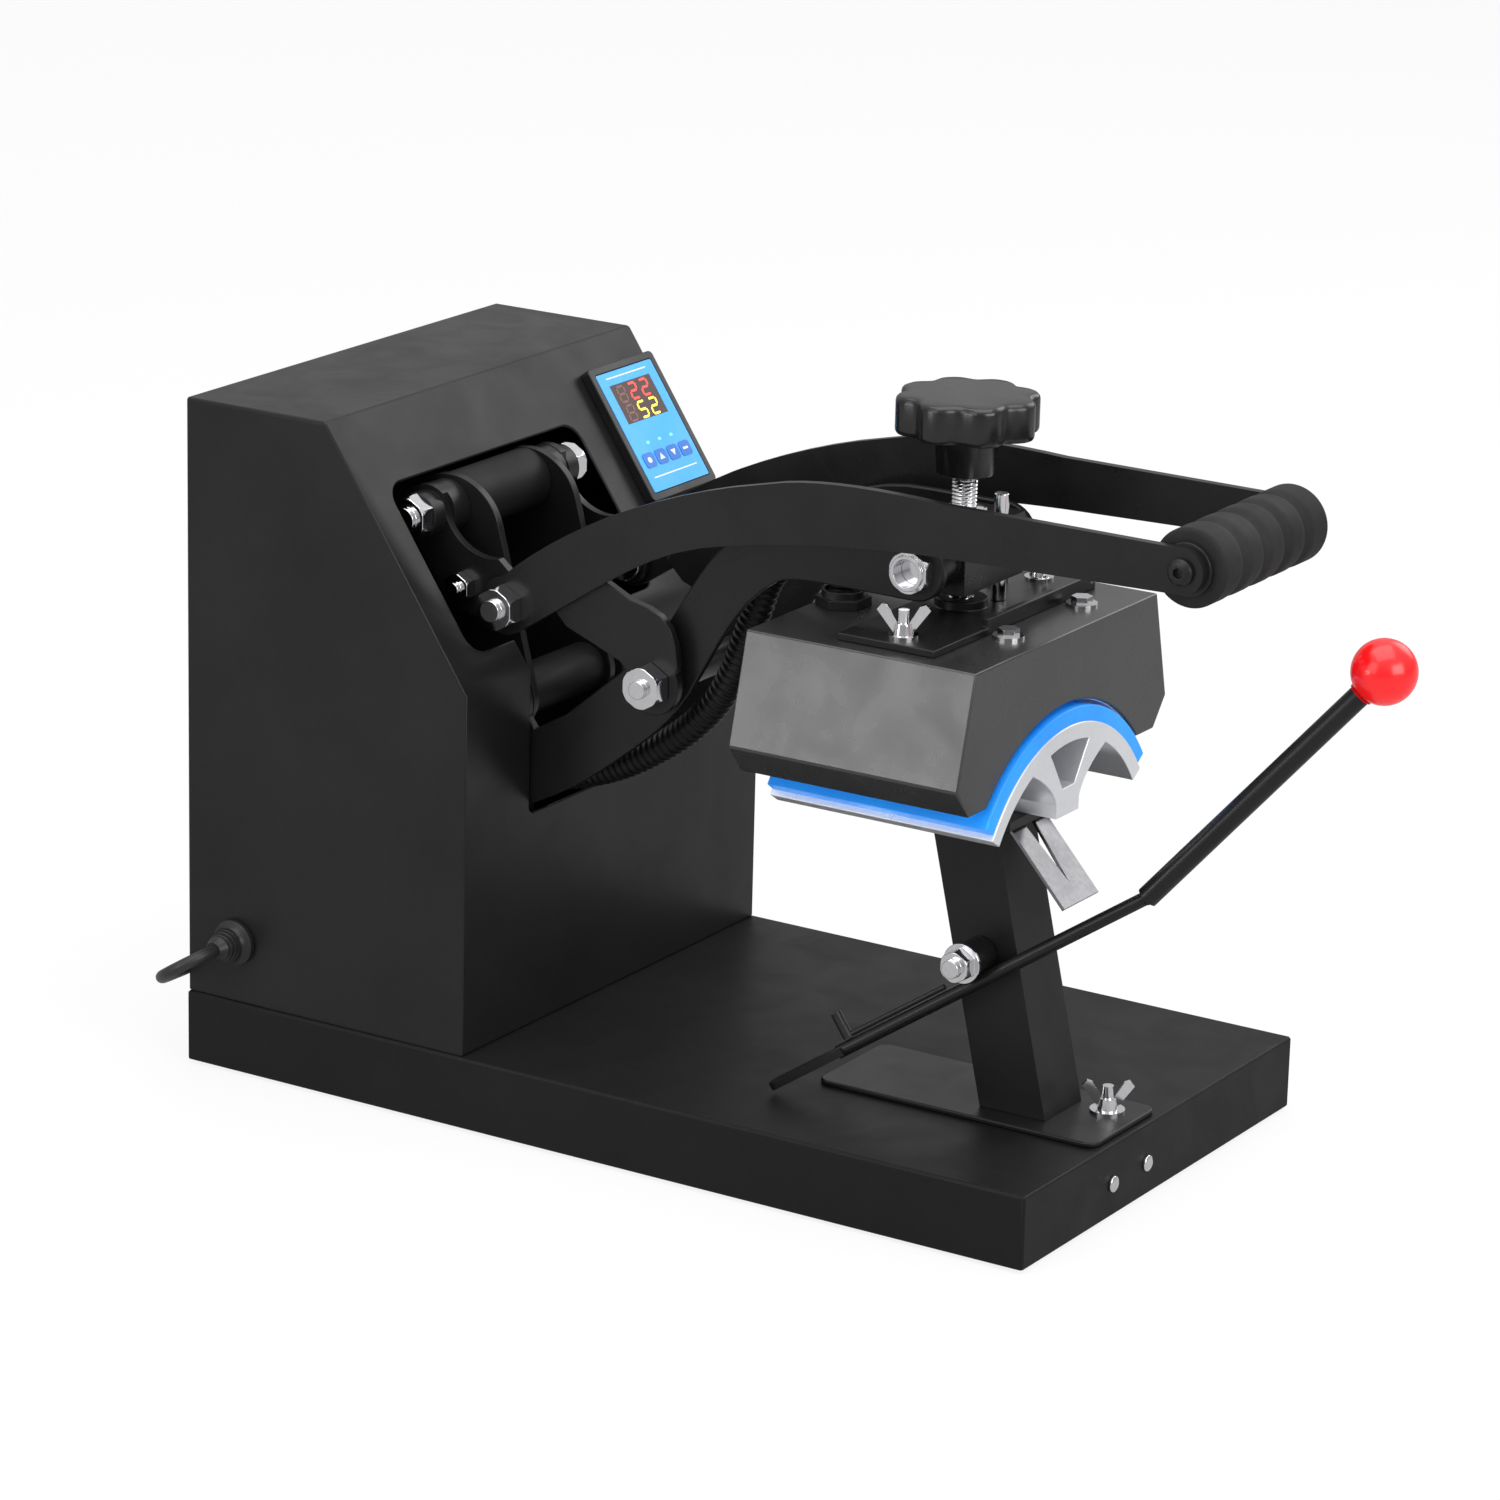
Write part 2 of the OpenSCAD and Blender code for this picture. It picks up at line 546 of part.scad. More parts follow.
/* Head arms */
module head_arm_view() {
  o = [y_face, z_pan];
  polygon([for (q = concat([[19, 125]],
      curve([-1, 128.7], [-25, 140], [-45, 155], [-64.3, 170.8], 5),
      curve([-66, 172.2], [-80, 183.5], [-96, 198], [-104.7, 217.3], 6),
      curve([-108, 223], [-118, 240], [-130, 266], [-152, 279], 7),
      curve([-158, 281.5], [-168, 284], [-180, 283.2], [-210, 283], 5),
      arc(pivot_e - o, 17, -90, -270, 16),
      curve([-190, 317], [-150, 318], [-122, 302], [-105, 276], 8),
      curve([-88, 249], [-80, 236], [-64, 224], [-56, 213], 6),
      [[-21.4, 183], [-1, 171]], arc(pivot_a - o, 20, 196, -60, 20))) o + q]);
}
module head_arm(side) color(black) difference() {
  x0 = plate_x(side, arm_half);
  side_plate(x0, plate_t) head_arm_view();
  bar_x(x0 - 1, plate_t + 2, pivot_a, axle_d + 2 * fit);
  bar_x(x0 - 1, plate_t + 2, pivot_b, bolt_d + 2 * fit);
  bar_x(x0 - 1, plate_t + 2, pivot_e, axle_d + 2 * fit);
}
module arm_spreader() color(black) difference() {
  bar_x(mech_x - arm_half, 2 * arm_half, pivot_b, 17);
  bar_x(mech_x - arm_half - 1, 2 * arm_half + 2, pivot_b, bolt_d + 2 * fit);
}
module elbow_bolt() color(chrome) through_axle(pivot_b, hand_half + gap, bolt_d, nut_af, nut_h);
module elbow_spacers() color(black) for (s = [-1, 1]) difference() {
  x0 = plate_x(s, arm_half + plate_t, elbow_gap - gap);
  bar_x(x0, elbow_gap - gap, pivot_b, 28);
  bar_x(x0 - 1, elbow_gap + 2, pivot_b, bolt_d + 2 * fit);
}
yoke_l = 33;
yoke_x0 = mech_x - 26;
yoke_x1 = mech_x + 40 + 10;
guide_x = mech_x + 38;
guide_d = 8;
stub_in = 17;
module cross_shaft() color(chrome) for (s = [-1, 1]) {
  x_in = s > 0 ? mech_x + 46 - stub_in : mech_x - 46 + stub_in;
  out = mech_x + s * (arm_half + plate_t + 1);
  bar_x(min(x_in, out), abs(out - x_in), pivot_e, axle_d);
}
module cross_nuts() color(chrome) for (s = [-1, 1]) difference() {
  x = mech_x + s * (arm_half + plate_t);
  union() {
    intersection() {
      hex_x(s > 0 ? x : x - 8, 8, pivot_e, nut_af);
      translate([x + s * 4, pivot_e[0], pivot_e[1]]) rotate([0, 90 * s, 0])
        cylinder(h = 8, r1 = nut_af / 2 + 2.6, r2 = nut_af / 2 + 0.3, center = true);
    }
    bar_x(s > 0 ? x + 8 : x - 9.6, 1.6, pivot_e, nut_af - 3);
  }
  bar_x(s > 0 ? x - 0.1 : x - 10, 10.1, pivot_e, axle_d - 1);
  bar_x(s > 0 ? x - 0.1 : x - 1.2, 1.3, pivot_e, axle_d + 2 * fit);
}
module yoke_block() color(black) difference() {
  union() {
    translate([yoke_x0, pivot_e[0] - yoke_l / 2, pivot_e[1] - 17])
      cube([yoke_x1 - yoke_x0 - 14, yoke_l, 34]);
    for (s = [-1, 1]) bar_x(s > 0 ? mech_x + 26 : mech_x - arm_half + gap,
      arm_half - gap - 26, pivot_e, 27);
  }
  for (x0 = [mech_x - 50, mech_x + 46 - stub_in - 0.5]) bar_x(x0, stub_in + 4.5, pivot_e, axle_d + 2 * fit);
  translate([mech_x, pivot_e[0], pivot_e[1] - 20]) cylinder(h = 40, d = spindle_d + 2 * fit);
  translate([mech_x + 21, pivot_e[0] - 10.5, pivot_e[1] - 20]) cylinder(h = 40, d = guide_d + 2 * fit);
}

/* Ribbed conduit from the housing to the head */
conduit_x = mech_x - 25;
rib_pitch = 4.6;
conduit_guides = [for (q = [[34, 131.5], [10, 137], [-20, 144], [-46, 154.5], [-70, 169], [-88, 183],
  [-103, 199.5], [-113, 217], [-120, 236], [-126.5, 254], [-135, 275], [-151, 291], [-170, 294], [-179, 284],
  [-180, 274]])
  [conduit_x, y_face + q[0], z_pan + q[1]]];
function spline_at(g, s) = let (n = len(g) - 1, i = min(floor(s), n - 1), t = s - i,
  a = g[max(i - 1, 0)], b = g[i], c = g[i + 1], d = g[min(i + 2, n)])
  0.5 * ((2 * b) + (c - a) * t + (2 * a - 5 * b + 4 * c - d) * t * t + (3 * b - a - 3 * c + d) * t * t * t);
conduit_steps = 144;
conduit_path = [for (i = [0 : conduit_steps]) spline_at(conduit_guides,
  i * (len(conduit_guides) - 1) / conduit_steps)];
module conduit() color(black) {
  m = conduit_steps + 1;
  n = 8;
  outer = rings(conduit_path, [for (i = [0 : conduit_steps]) conduit_d / 2 - (i % 2) * 1.1], n, [1, 0, 0]);
  inner = rings(conduit_path, [for (i = [0 : conduit_steps]) conduit_d / 2 - 2.2], n, [1, 0, 0]);
  polyhedron(concat(outer, inner), concat(walls(m, n),
    [for (f = walls(m, n)) [f[2] + m * n, f[1] + m * n, f[0] + m * n]],
    [for (k = [0 : n - 1]) each let (j = (k + 1) % n) [[m * n + k, m * n + j, j], [m * n + k, j, k]]],
    [for (k = [0 : n - 1]) each let (j = (k + 1) % n, o = (m - 1) * n)
      [[o + k, o + j, m * n + o + j], [o + k, m * n + o + j, m * n + o + k]]]));
}

/* Handle */
module handle_view() {
  translate(pivot_c) circle(16);
  translate(grip_p) circle(hand_w / 2);
  o = [y_face, z_pan];
  g = [grip_p[0] - y_face, grip_p[1] - z_pan];
  polygon([for (q = concat(
      curve([12, 257.5], [-6, 274], [-30, 289], [-56, 302.3], 6),
      curve([-60, 304.2], [-85, 316], [-118, 328], [-150, 335], 6),
      curve([-165, 338.5], [-190, 343.5], [-225, 344], [-262, 342], 8),
      [g + [0, hand_w / 2], g + [0, -hand_w / 2]],
      curve([-262, 314], [-200, 312], [-150, 304], [-115, 295], 10),
      curve([-100, 290], [-70, 278], [-50, 262], [2, 228], 10))) o + q]);
}
module handle_arm(side) color(black) difference() {
  x0 = plate_x(side, hand_half);
  side_plate(x0, plate_t) handle_view();
  bar_x(x0 - 1, plate_t + 2, pivot_c, bolt_d + 2 * fit);
  bar_x(x0 - 1, plate_t + 2, grip_p, 8 + 2 * fit);
}
module elbow_bracket(side) color(black) difference() {
  x0 = plate_x(side, bracket_half);
  o = [y_face, z_pan];
  side_plate(x0, plate_t) {
    translate(pivot_b) circle(17);
    polygon([for (q = [[-70, 216], [-63, 222.5], [-53, 226.4], [-44, 230], [-28, 236], [-17, 247],
      [-38, 275],
      [-52, 265.7], [-68.5, 258], [-80, 255.5], [-88, 252], [-94, 246], [-97.8, 237], [-99.4, 226],
      [-97, 218]]) o + q]);
  }
  bar_x(x0 - 1, plate_t + 2, pivot_b, bolt_d + 2 * fit);
}
grip_tube_d = 28;
module grip_tube() color(black) difference() {
  bar_x(mech_x - hand_half, 2 * hand_half, grip_p, grip_tube_d);
  bar_x(mech_x - hand_half - 1, 2 * hand_half + 2, grip_p, 8 + 2 * fit);
}
module foam_grip() color([0.1, 0.1, 0.11]) difference() {
  l = 2 * hand_half - 6;
  translate([mech_x - l / 2, grip_p[0], grip_p[1]]) rotate([0, 90, 0]) rotate_extrude($fn = 64)
    polygon(concat([[grip_tube_d / 2 + 0.1, 0]],
      [for (i = [0 : 60]) let (t = i / 60)
        [grip_d / 2 - (i > 0 && i < 60 ? 1.8 * pow(abs(cos(t * 900)), 8) : 2.4),
        t * l]], [[grip_tube_d / 2 + 0.1, l]]));
}
module grip_screws() color(dark) for (s = [-1, 1]) difference() {
  x = mech_x + s * (hand_half + plate_t);
  union() {
    bar_x(s > 0 ? x - 34 : x, 34, grip_p, 8);
    translate([x, grip_p[0], grip_p[1]]) rotate([0, 90 * s, 0]) {
      cylinder(h = 2.4, d = 14);
      translate([0, 0, 2.4]) cylinder(h = 2, d1 = 14, d2 = 9);
    }
  }
  hex_x(s > 0 ? x + 1.6 : x - 5, 3.4, grip_p, 5);
}
module handle_pivot_bolts() color(chrome) for (s = [-1, 1]) {
  x_out = mech_x + s * (hand_half + plate_t);
  x_in = mech_x + s * (link_half - gap);
  bar_x(min(x_out, x_in), abs(x_out - x_in), pivot_c, bolt_d);
  nut_end(pivot_c, x_out, s, nut_af, nut_h, bolt_d);
  bar_x(s > 0 ? x_in - 4.6 : x_in, 4.6, pivot_c, 22);
}

/* Links between the frame and the handle */
module link(side) color(black) {
  x0 = plate_x(side, link_half);
  boss = link_half - frame_half - plate_t - gap;
  collar = upper_half - link_half - plate_t - gap;
  difference() {
    union() {
      side_plate(x0, plate_t) difference() {
        union() {
          link_outline(pivot_d, 15.5, pivot_c, 13.2);
          link_outline(pivot_c, 13.2, pivot_s, 14);
          link_outline(pivot_s, 14, pivot_d, 15.5);
        }
        translate([y_face + 23, z_pan + 296.5]) circle(31);
      }
      bar_x(side > 0 ? x0 - boss : x0 + plate_t, boss, pivot_d, 30);
      bar_x(side > 0 ? x0 + plate_t : x0 - collar, collar, pivot_d, 25);
    }
    bar_x(x0 - boss - 1, plate_t + 2 * boss + 2, pivot_d, axle_d + 2 * fit);
    bar_x(x0 - 1, plate_t + 2, pivot_c, bolt_d + 2 * open_pivot_play);
    bar_x(x0 - 1, plate_t + 2, pivot_s, 8 + 2 * fit);
  }
}
module link_stop_bolts() color(chrome) for (s = [-1, 1]) {
  x_out = mech_x + s * (link_half + plate_t);
  x_in = mech_x + s * link_half;
  bar_x(min(x_out, x_in), plate_t, pivot_s, 8);
  nut_end(pivot_s, x_out, s, 15, 7, 7.5);
  hex_x(s > 0 ? x_in - 5 : x_in, 5, pivot_s, 13);
}

/* Pressure knob and spindle */
z_knob = z_pan + 364;
knob_h = 21;
hub_h = 22;
module pressure_knob() color(black) translate([mech_x, pivot_e[0], z_knob]) difference() {
  union() {
    intersection() {
      star(knob_d / 2);
      cylinder(h = knob_h, r1 = knob_d / 2 + knob_h - 2, r2 = knob_d / 2 - 2);
    }
    translate([0, 0, -hub_h]) cylinder(h = hub_h, d1 = 31, d2 = 34);
  }
  translate([0, 0, -hub_h - 1]) cylinder(h = hub_h + 12, d = spindle_d - 2 + 2 * fit);
}
module star(r) {
  lobe = r * sin(180 / knob_lobes) * 0.62;
  difference() {
    union() {
      cylinder(h = knob_h, r = r * 0.8);
      for (i = [0 : knob_lobes - 1]) rotate(i * 360 / knob_lobes) translate([r - lobe, 0, 0])
        cylinder(h = knob_h, r = lobe);
    }
    for (i = [0 : knob_lobes - 1]) rotate((i + 0.5) * 360 / knob_lobes) translate([r * 0.99, 0, -1])
      cylinder(h = knob_h + 2, r = lobe * 0.92);
  }
}
module spindle() color(chrome) translate([mech_x, pivot_e[0], 0]) {
  translate([0, 0, z_head_top + 3]) cylinder(h = z_knob - hub_h - z_head_top - 3, d = spindle_d);
  translate([0, 0, z_knob - hub_h]) cylinder(h = hub_h + 9, d = spindle_d - 2);
  translate([0, 0, pivot_e[1] + 17 + gap]) cylinder(h = 7, d = 24, $fn = 6);
}

/* Heated head */
module head_view(inset) {
  t = head_top_w / 2 - inset;
  w = head_wide_w / 2 - inset;
  l = head_low_w / 2 - inset;
  zt = z_head_top - z_arch;
  zw = z_head_wide - z_arch;
  zl = z_head_low - z_arch;
  polygon([[-t, zt - inset], [t, zt - inset], [w, zw], [l, zl], [-l, zl], [-w, zw]]);
}
module head_shell() color(dark) front_plate_pair() {
  head_view(0);
  head_view(shell_t);
}
module front_plate_pair() translate([mech_x, 0, z_arch]) difference() {
  front_plate(head_y0, head_l) children(0);
  front_plate(head_y0 + shell_t, head_l - 2 * shell_t) children(1);
  front_plate(head_y0 - 1, head_l + 2) circle(head_r + 0.6, $fn = 180);
}
heater_out_r = head_r + heater_t;
module heater_block() color(casting) translate([mech_x, 0, z_arch])
  front_plate(head_y0 + shell_t + gap, head_l - 2 * (shell_t + gap)) intersection() {
    difference() {
      circle(heater_out_r, $fn = 180);
      circle(head_r, $fn = 180);
    }
    head_view(shell_t + gap);
  }
module head_insulation() color([0.8, 0.78, 0.7]) translate([mech_x, 0, z_arch])
  front_plate(head_y0 + shell_t + gap, head_l - 2 * (shell_t + gap)) difference() {
    head_view(shell_t + gap);
    circle(heater_out_r + gap, $fn = 180);
  }
head_plate_t = 4;
z_head_plate = z_head_top + head_plate_t;
module head_bracket() color(black) difference() {
  union() {
    translate([mech_x - 85, pivot_e[0] - 34, z_head_top]) cube([170, 58, head_plate_t]);
    translate([mech_x - 30, pivot_e[0] - 34, z_head_plate]) cube([110, 4, 4.5]);
    translate([mech_x, pivot_e[0], z_head_plate]) cylinder(h = 5, d = 28);
  }
  translate([mech_x, pivot_e[0], z_head_top + 1]) cylinder(h = 20, d = spindle_d + 2 * fit);
}
module head_fasteners() color(chrome) {
  for (s = [-1, 1]) translate([mech_x + s * 71, pivot_e[0] - 7, z_head_plate]) {
    cylinder(h = 1.5, d = 16);
    translate([0, 0, 1.5]) rotate([0, 0, 62 * s]) wing_nut();
  }
  for (x = [mech_x - 27, mech_x + 51]) translate([x, head_y0 + 21, z_head_top]) {
    cylinder(h = 1.6, d = 17);
    cylinder(h = 5.1, d = 10 / cos(30), $fn = 6);
  }
  for (p = [[mech_x + 9, 18], [mech_x + 52, 8]]) translate([p[0], pivot_e[0] + p[1], z_head_plate]) {
    cylinder(h = 5, d = 10 / cos(30), $fn = 6);
    cylinder(h = 6, d = 6);
  }
}
module guide_rod() color(chrome) translate([mech_x + 21, pivot_e[0] - 10.5, z_head_plate])
  cylinder(h = 58, d = guide_d);
module head_gland() color(black) difference() {
  translate([conduit_x, y_face - 180, z_head_top]) {
    cylinder(h = 5, d = 26 / cos(30), $fn = 6);
    cylinder(h = 9, d = 23.5);
  }
  translate([conduit_x, y_face - 180, z_head_top - 1]) cylinder(h = 20, d = conduit_d + 3);
}

base_pan();
base_cover();
front_rivets();
housing_shell();
rear_cover();
rear_screws();
frame_plate(-1);  // frame_plate_left
frame_plate(1);  // frame_plate_right
axle_sleeves();
pivot_washers();
upper_axle();
lower_axle();
control_bezel();
control_panel();
display_window();
cable_gland();
cord();
cord_coil();
plug();
foot_plate();
foot_wing_nut();
post();
platen_bracket();
platen();
silicone_pad();
brim_hook();
lever_pivot_bolt();
lever_rod();
lever_ball();
lever_sleeve();
lever_strap();
head_arm(-1);  // head_arm_left
head_arm(1);  // head_arm_right
arm_spreader();
elbow_bolt();
elbow_spacers();
cross_shaft();
cross_nuts();
yoke_block();
conduit();
handle_arm(-1);  // handle_arm_left
handle_arm(1);  // handle_arm_right
elbow_bracket(-1);  // elbow_bracket_left
elbow_bracket(1);  // elbow_bracket_right
grip_tube();
foam_grip();
grip_screws();
handle_pivot_bolts();
link(-1);  // link_left
link(1);  // link_right
link_stop_bolts();
pressure_knob();
spindle();
head_shell();
heater_block();
head_insulation();
head_bracket();
head_fasteners();
guide_rod();
head_gland();
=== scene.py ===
# A cap heat press, dressed for a studio picture: looks only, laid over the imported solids.
import math

import bmesh
import bpy
import numpy as np
from mathutils import Matrix, Vector


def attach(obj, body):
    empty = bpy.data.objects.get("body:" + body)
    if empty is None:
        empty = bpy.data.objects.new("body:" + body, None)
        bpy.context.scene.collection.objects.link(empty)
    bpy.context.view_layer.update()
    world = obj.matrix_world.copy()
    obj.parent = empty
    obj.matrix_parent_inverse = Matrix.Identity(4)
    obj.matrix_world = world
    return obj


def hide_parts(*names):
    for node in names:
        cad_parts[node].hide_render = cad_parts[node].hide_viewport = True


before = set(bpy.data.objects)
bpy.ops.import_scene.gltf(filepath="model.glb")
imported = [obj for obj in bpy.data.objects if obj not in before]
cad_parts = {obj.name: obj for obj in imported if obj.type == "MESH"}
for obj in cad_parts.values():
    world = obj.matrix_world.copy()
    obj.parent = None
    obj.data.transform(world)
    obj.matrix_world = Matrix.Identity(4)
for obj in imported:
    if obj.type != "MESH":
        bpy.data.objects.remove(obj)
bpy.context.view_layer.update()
mm = 0.001
tau = 2 * math.pi

# where the panel's slope, the front face and the top of the pan lie, in mm, as in the part
layout = {
    "slopeTop": (177.0, 384.0),
    "slopeFoot": (83.0, 247.0),
    "frontFace": 83.0,
    "panTop": 43.0,
}


# camera, light and floor
cameraSet = {
    "azimuth": -58.162,
    "elevation": 17.065,
    "roll": 1.451,
    "place": (-2.567968, -1.598720, 1.125183),
    "lens": 138.07,
    "sensor": 36.0,
}


def placeCamera(c):
    # back, right and up come from azimuth and elevation, then right and up turn by the roll
    a, e, r = (math.radians(c[k]) for k in ("azimuth", "elevation", "roll"))
    back = Vector((math.sin(a) * math.cos(e), -math.cos(a) * math.cos(e), math.sin(e)))
    right = Vector((math.cos(a), math.sin(a), 0))
    up = back.cross(right)
    turnedRight = math.cos(r) * right + math.sin(r) * up
    turnedUp = -math.sin(r) * right + math.cos(r) * up
    data = bpy.data.cameras.new("photoCamera")
    data.lens = c["lens"]
    data.sensor_width = c["sensor"]
    data.clip_end = 50
    camera = bpy.data.objects.new("photoCamera", data)
    bpy.context.collection.objects.link(camera)
    rotation = Matrix((turnedRight, turnedUp, back)).transposed().to_4x4()
    camera.matrix_world = Matrix.Translation(c["place"]) @ rotation
    bpy.context.scene.camera = camera


lamps = {
    # name: place, aim, width, height, watts
    "topBox": ((-0.2, -0.2, 2.3), (0, 0, 0.2), 2.2, 2.2, 32),
    "leftBox": ((-2.3, 0.5, 1.3), (0, 0, 0.25), 1.5, 1.6, 13),
    "frontBox": ((-0.6, -2.6, 1.2), (0, -0.1, 0.2), 1.8, 1.3, 32),
    "rightBox": ((2.3, -0.6, 1.5), (0, 0, 0.2), 1.4, 1.4, 12),
    "lowPanel": ((-2.3, 1.1, 0.5), (0, -0.15, 0.35), 0.7, 0.35, 5),
}


def placeLamps(table):
    for name, (place, aim, wide, high, watts) in table.items():
        data = bpy.data.lights.new(name, "AREA")
        data.shape = "RECTANGLE"
        data.size = wide
        data.size_y = high
        data.energy = watts
        lamp = bpy.data.objects.new(name, data)
        bpy.context.collection.objects.link(lamp)
        toward = Vector(aim) - Vector(place)
        turn = toward.to_track_quat("-Z", "Y").to_matrix().to_4x4()
        lamp.matrix_world = Matrix.Translation(place) @ turn


studio = {
    "roomHorizon": 0.34, "roomTop": 0.95, "climbFrom": 0.05, "climbTo": 0.75,
    "floorTone": 0.80, "floorGlow": 0.86, "floorInMetal": 0.5, "floorSize": 14.0,
}


def seenDirectly(nodes, links):
    # 1 for camera, glossy and transmission rays
    path = nodes.new("ShaderNodeLightPath")
    first = nodes.new("ShaderNodeMath")
    first.operation = "MAXIMUM"
    links.new(path.outputs["Is Camera Ray"], first.inputs[0])
    links.new(path.outputs["Is Glossy Ray"], first.inputs[1])
    second = nodes.new("ShaderNodeMath")
    second.operation = "MAXIMUM"
    links.new(first.outputs[0], second.inputs[0])
    links.new(path.outputs["Is Transmission Ray"], second.inputs[1])
    return second.outputs[0]


def buildStudio(s):
    world = bpy.data.worlds.new("studioWorld")
    bpy.context.scene.world = world
    world.use_nodes = True
    nodes, links = world.node_tree.nodes, world.node_tree.links
    nodes.clear()
    room = nodes.new("ShaderNodeBackground")
    room.inputs["Color"].default_value = (1, 1, 1, 1)
    # the room is dimmer at the horizon than overhead, which gives metal something to reflect
    where = nodes.new("ShaderNodeTexCoord")
    parts = nodes.new("ShaderNodeSeparateXYZ")
    links.new(where.outputs["Generated"], parts.inputs[0])
    climb = nodes.new("ShaderNodeMapRange")
    climb.inputs["From Min"].default_value = s["climbFrom"]
    climb.inputs["From Max"].default_value = s["climbTo"]
    climb.inputs["To Min"].default_value = s["roomHorizon"]
    climb.inputs["To Max"].default_value = s["roomTop"]
    links.new(parts.outputs["Z"], climb.inputs["Value"])
    links.new(climb.outputs[0], room.inputs["Strength"])
    seen = nodes.new("ShaderNodeBackground")
    seen.inputs["Color"].default_value = (1, 1, 1, 1)
    seen.inputs["Strength"].default_value = 1.0
    cameraOnly = nodes.new("ShaderNodeLightPath")
    mix = nodes.new("ShaderNodeMixShader")
    out = nodes.new("ShaderNodeOutputWorld")
    links.new(cameraOnly.outputs["Is Camera Ray"], mix.inputs[0])
    links.new(room.outputs[0], mix.inputs[1])
    links.new(seen.outputs[0], mix.inputs[2])
    links.new(mix.outputs[0], out.inputs["Surface"])

    half = s["floorSize"] / 2
    mesh = bpy.data.meshes.new("studioFloor")
    corners = [(-half, -half, 0), (half, -half, 0), (half, half, 0), (-half, half, 0)]
    mesh.from_pydata(corners, [], [(0, 1, 2, 3)])
    floor = bpy.data.objects.new("studioFloor", mesh)
    bpy.context.collection.objects.link(floor)
    paper = bpy.data.materials.new("studioPaper")
    paper.use_nodes = True
    nodes, links = paper.node_tree.nodes, paper.node_tree.links
    nodes.clear()
    diffuse = nodes.new("ShaderNodeBsdfDiffuse")
    diffuse.inputs["Color"].default_value = (s["floorTone"],) * 3 + (1,)
    glow = nodes.new("ShaderNodeEmission")
    glow.inputs["Color"].default_value = (1, 1, 1, 1)
    # the camera sees the floor white, and metal sees it dimmer so that its shapes stay readable
    eye = nodes.new("ShaderNodeLightPath")
    dim = nodes.new("ShaderNodeMath")
    dim.operation = "MULTIPLY_ADD"
    dim.inputs[1].default_value = 1.0 - s["floorInMetal"]
    dim.inputs[2].default_value = s["floorInMetal"]
    links.new(eye.outputs["Is Camera Ray"], dim.inputs[0])
    links.new(dim.outputs[0], glow.inputs["Strength"])
    share = nodes.new("ShaderNodeMath")
    share.operation = "MULTIPLY"
    share.inputs[1].default_value = s["floorGlow"]
    links.new(seenDirectly(nodes, links), share.inputs[0])
    mix = nodes.new("ShaderNodeMixShader")
    out = nodes.new("ShaderNodeOutputMaterial")
    links.new(share.outputs[0], mix.inputs[0])
    links.new(diffuse.outputs[0], mix.inputs[1])
    links.new(glow.outputs[0], mix.inputs[2])
    links.new(mix.outputs[0], out.inputs["Surface"])
    mesh.materials.append(paper)


placeCamera(cameraSet)
placeLamps(lamps)
buildStudio(studio)
bpy.context.scene.view_settings.view_transform = "Standard"
print("camera, lamps and floor are in place")


# shared material effects
def newGroup(name, inputs, outputs):
    group = bpy.data.node_groups.new(name, "ShaderNodeTree")
    for label, kind, value in inputs:
        socket = group.interface.new_socket(label, in_out="INPUT", socket_type=kind)
        if value is not None:
            socket.default_value = value
    for label, kind in outputs:
        group.interface.new_socket(label, in_out="OUTPUT", socket_type=kind)
    start = group.nodes.new("NodeGroupInput")
    end = group.nodes.new("NodeGroupOutput")
    return group, start, end


def toneGroup():
    # a colour that drifts between two tones in soft clouds, with a sprinkle of finer mottling
    group, start, end = newGroup(
        "toneDrift",
        [("Vector", "NodeSocketVector", None), ("Tone A", "NodeSocketColor", (0, 0, 0, 1)),
         ("Tone B", "NodeSocketColor", (1, 1, 1, 1)), ("Cloud Scale", "NodeSocketFloat", 12.0),
         ("Mottle Scale", "NodeSocketFloat", 300.0)],
        [("Color", "NodeSocketColor")])
    nodes, links = group.nodes, group.links
    cloud = nodes.new("ShaderNodeTexNoise")
    cloud.inputs["Detail"].default_value = 3.0
    links.new(start.outputs["Vector"], cloud.inputs["Vector"])
    links.new(start.outputs["Cloud Scale"], cloud.inputs["Scale"])
    mottle = nodes.new("ShaderNodeTexNoise")
    mottle.inputs["Detail"].default_value = 2.0
    links.new(start.outputs["Vector"], mottle.inputs["Vector"])
    links.new(start.outputs["Mottle Scale"], mottle.inputs["Scale"])
    blend = nodes.new("ShaderNodeMath")
    blend.operation = "MULTIPLY_ADD"
    links.new(mottle.outputs[0], blend.inputs[0])
    blend.inputs[1].default_value = 0.35
    links.new(cloud.outputs[0], blend.inputs[2])
    spread = nodes.new("ShaderNodeMapRange")
    spread.inputs["From Min"].default_value = 0.45
    spread.inputs["From Max"].default_value = 0.95
    links.new(blend.outputs[0], spread.inputs["Value"])
    mix = nodes.new("ShaderNodeMix")
    mix.data_type = "RGBA"
    links.new(spread.outputs[0], mix.inputs["Factor"])
    links.new(start.outputs["Tone A"], mix.inputs[6])
    links.new(start.outputs["Tone B"], mix.inputs[7])
    links.new(mix.outputs[2], end.inputs["Color"])
    return group


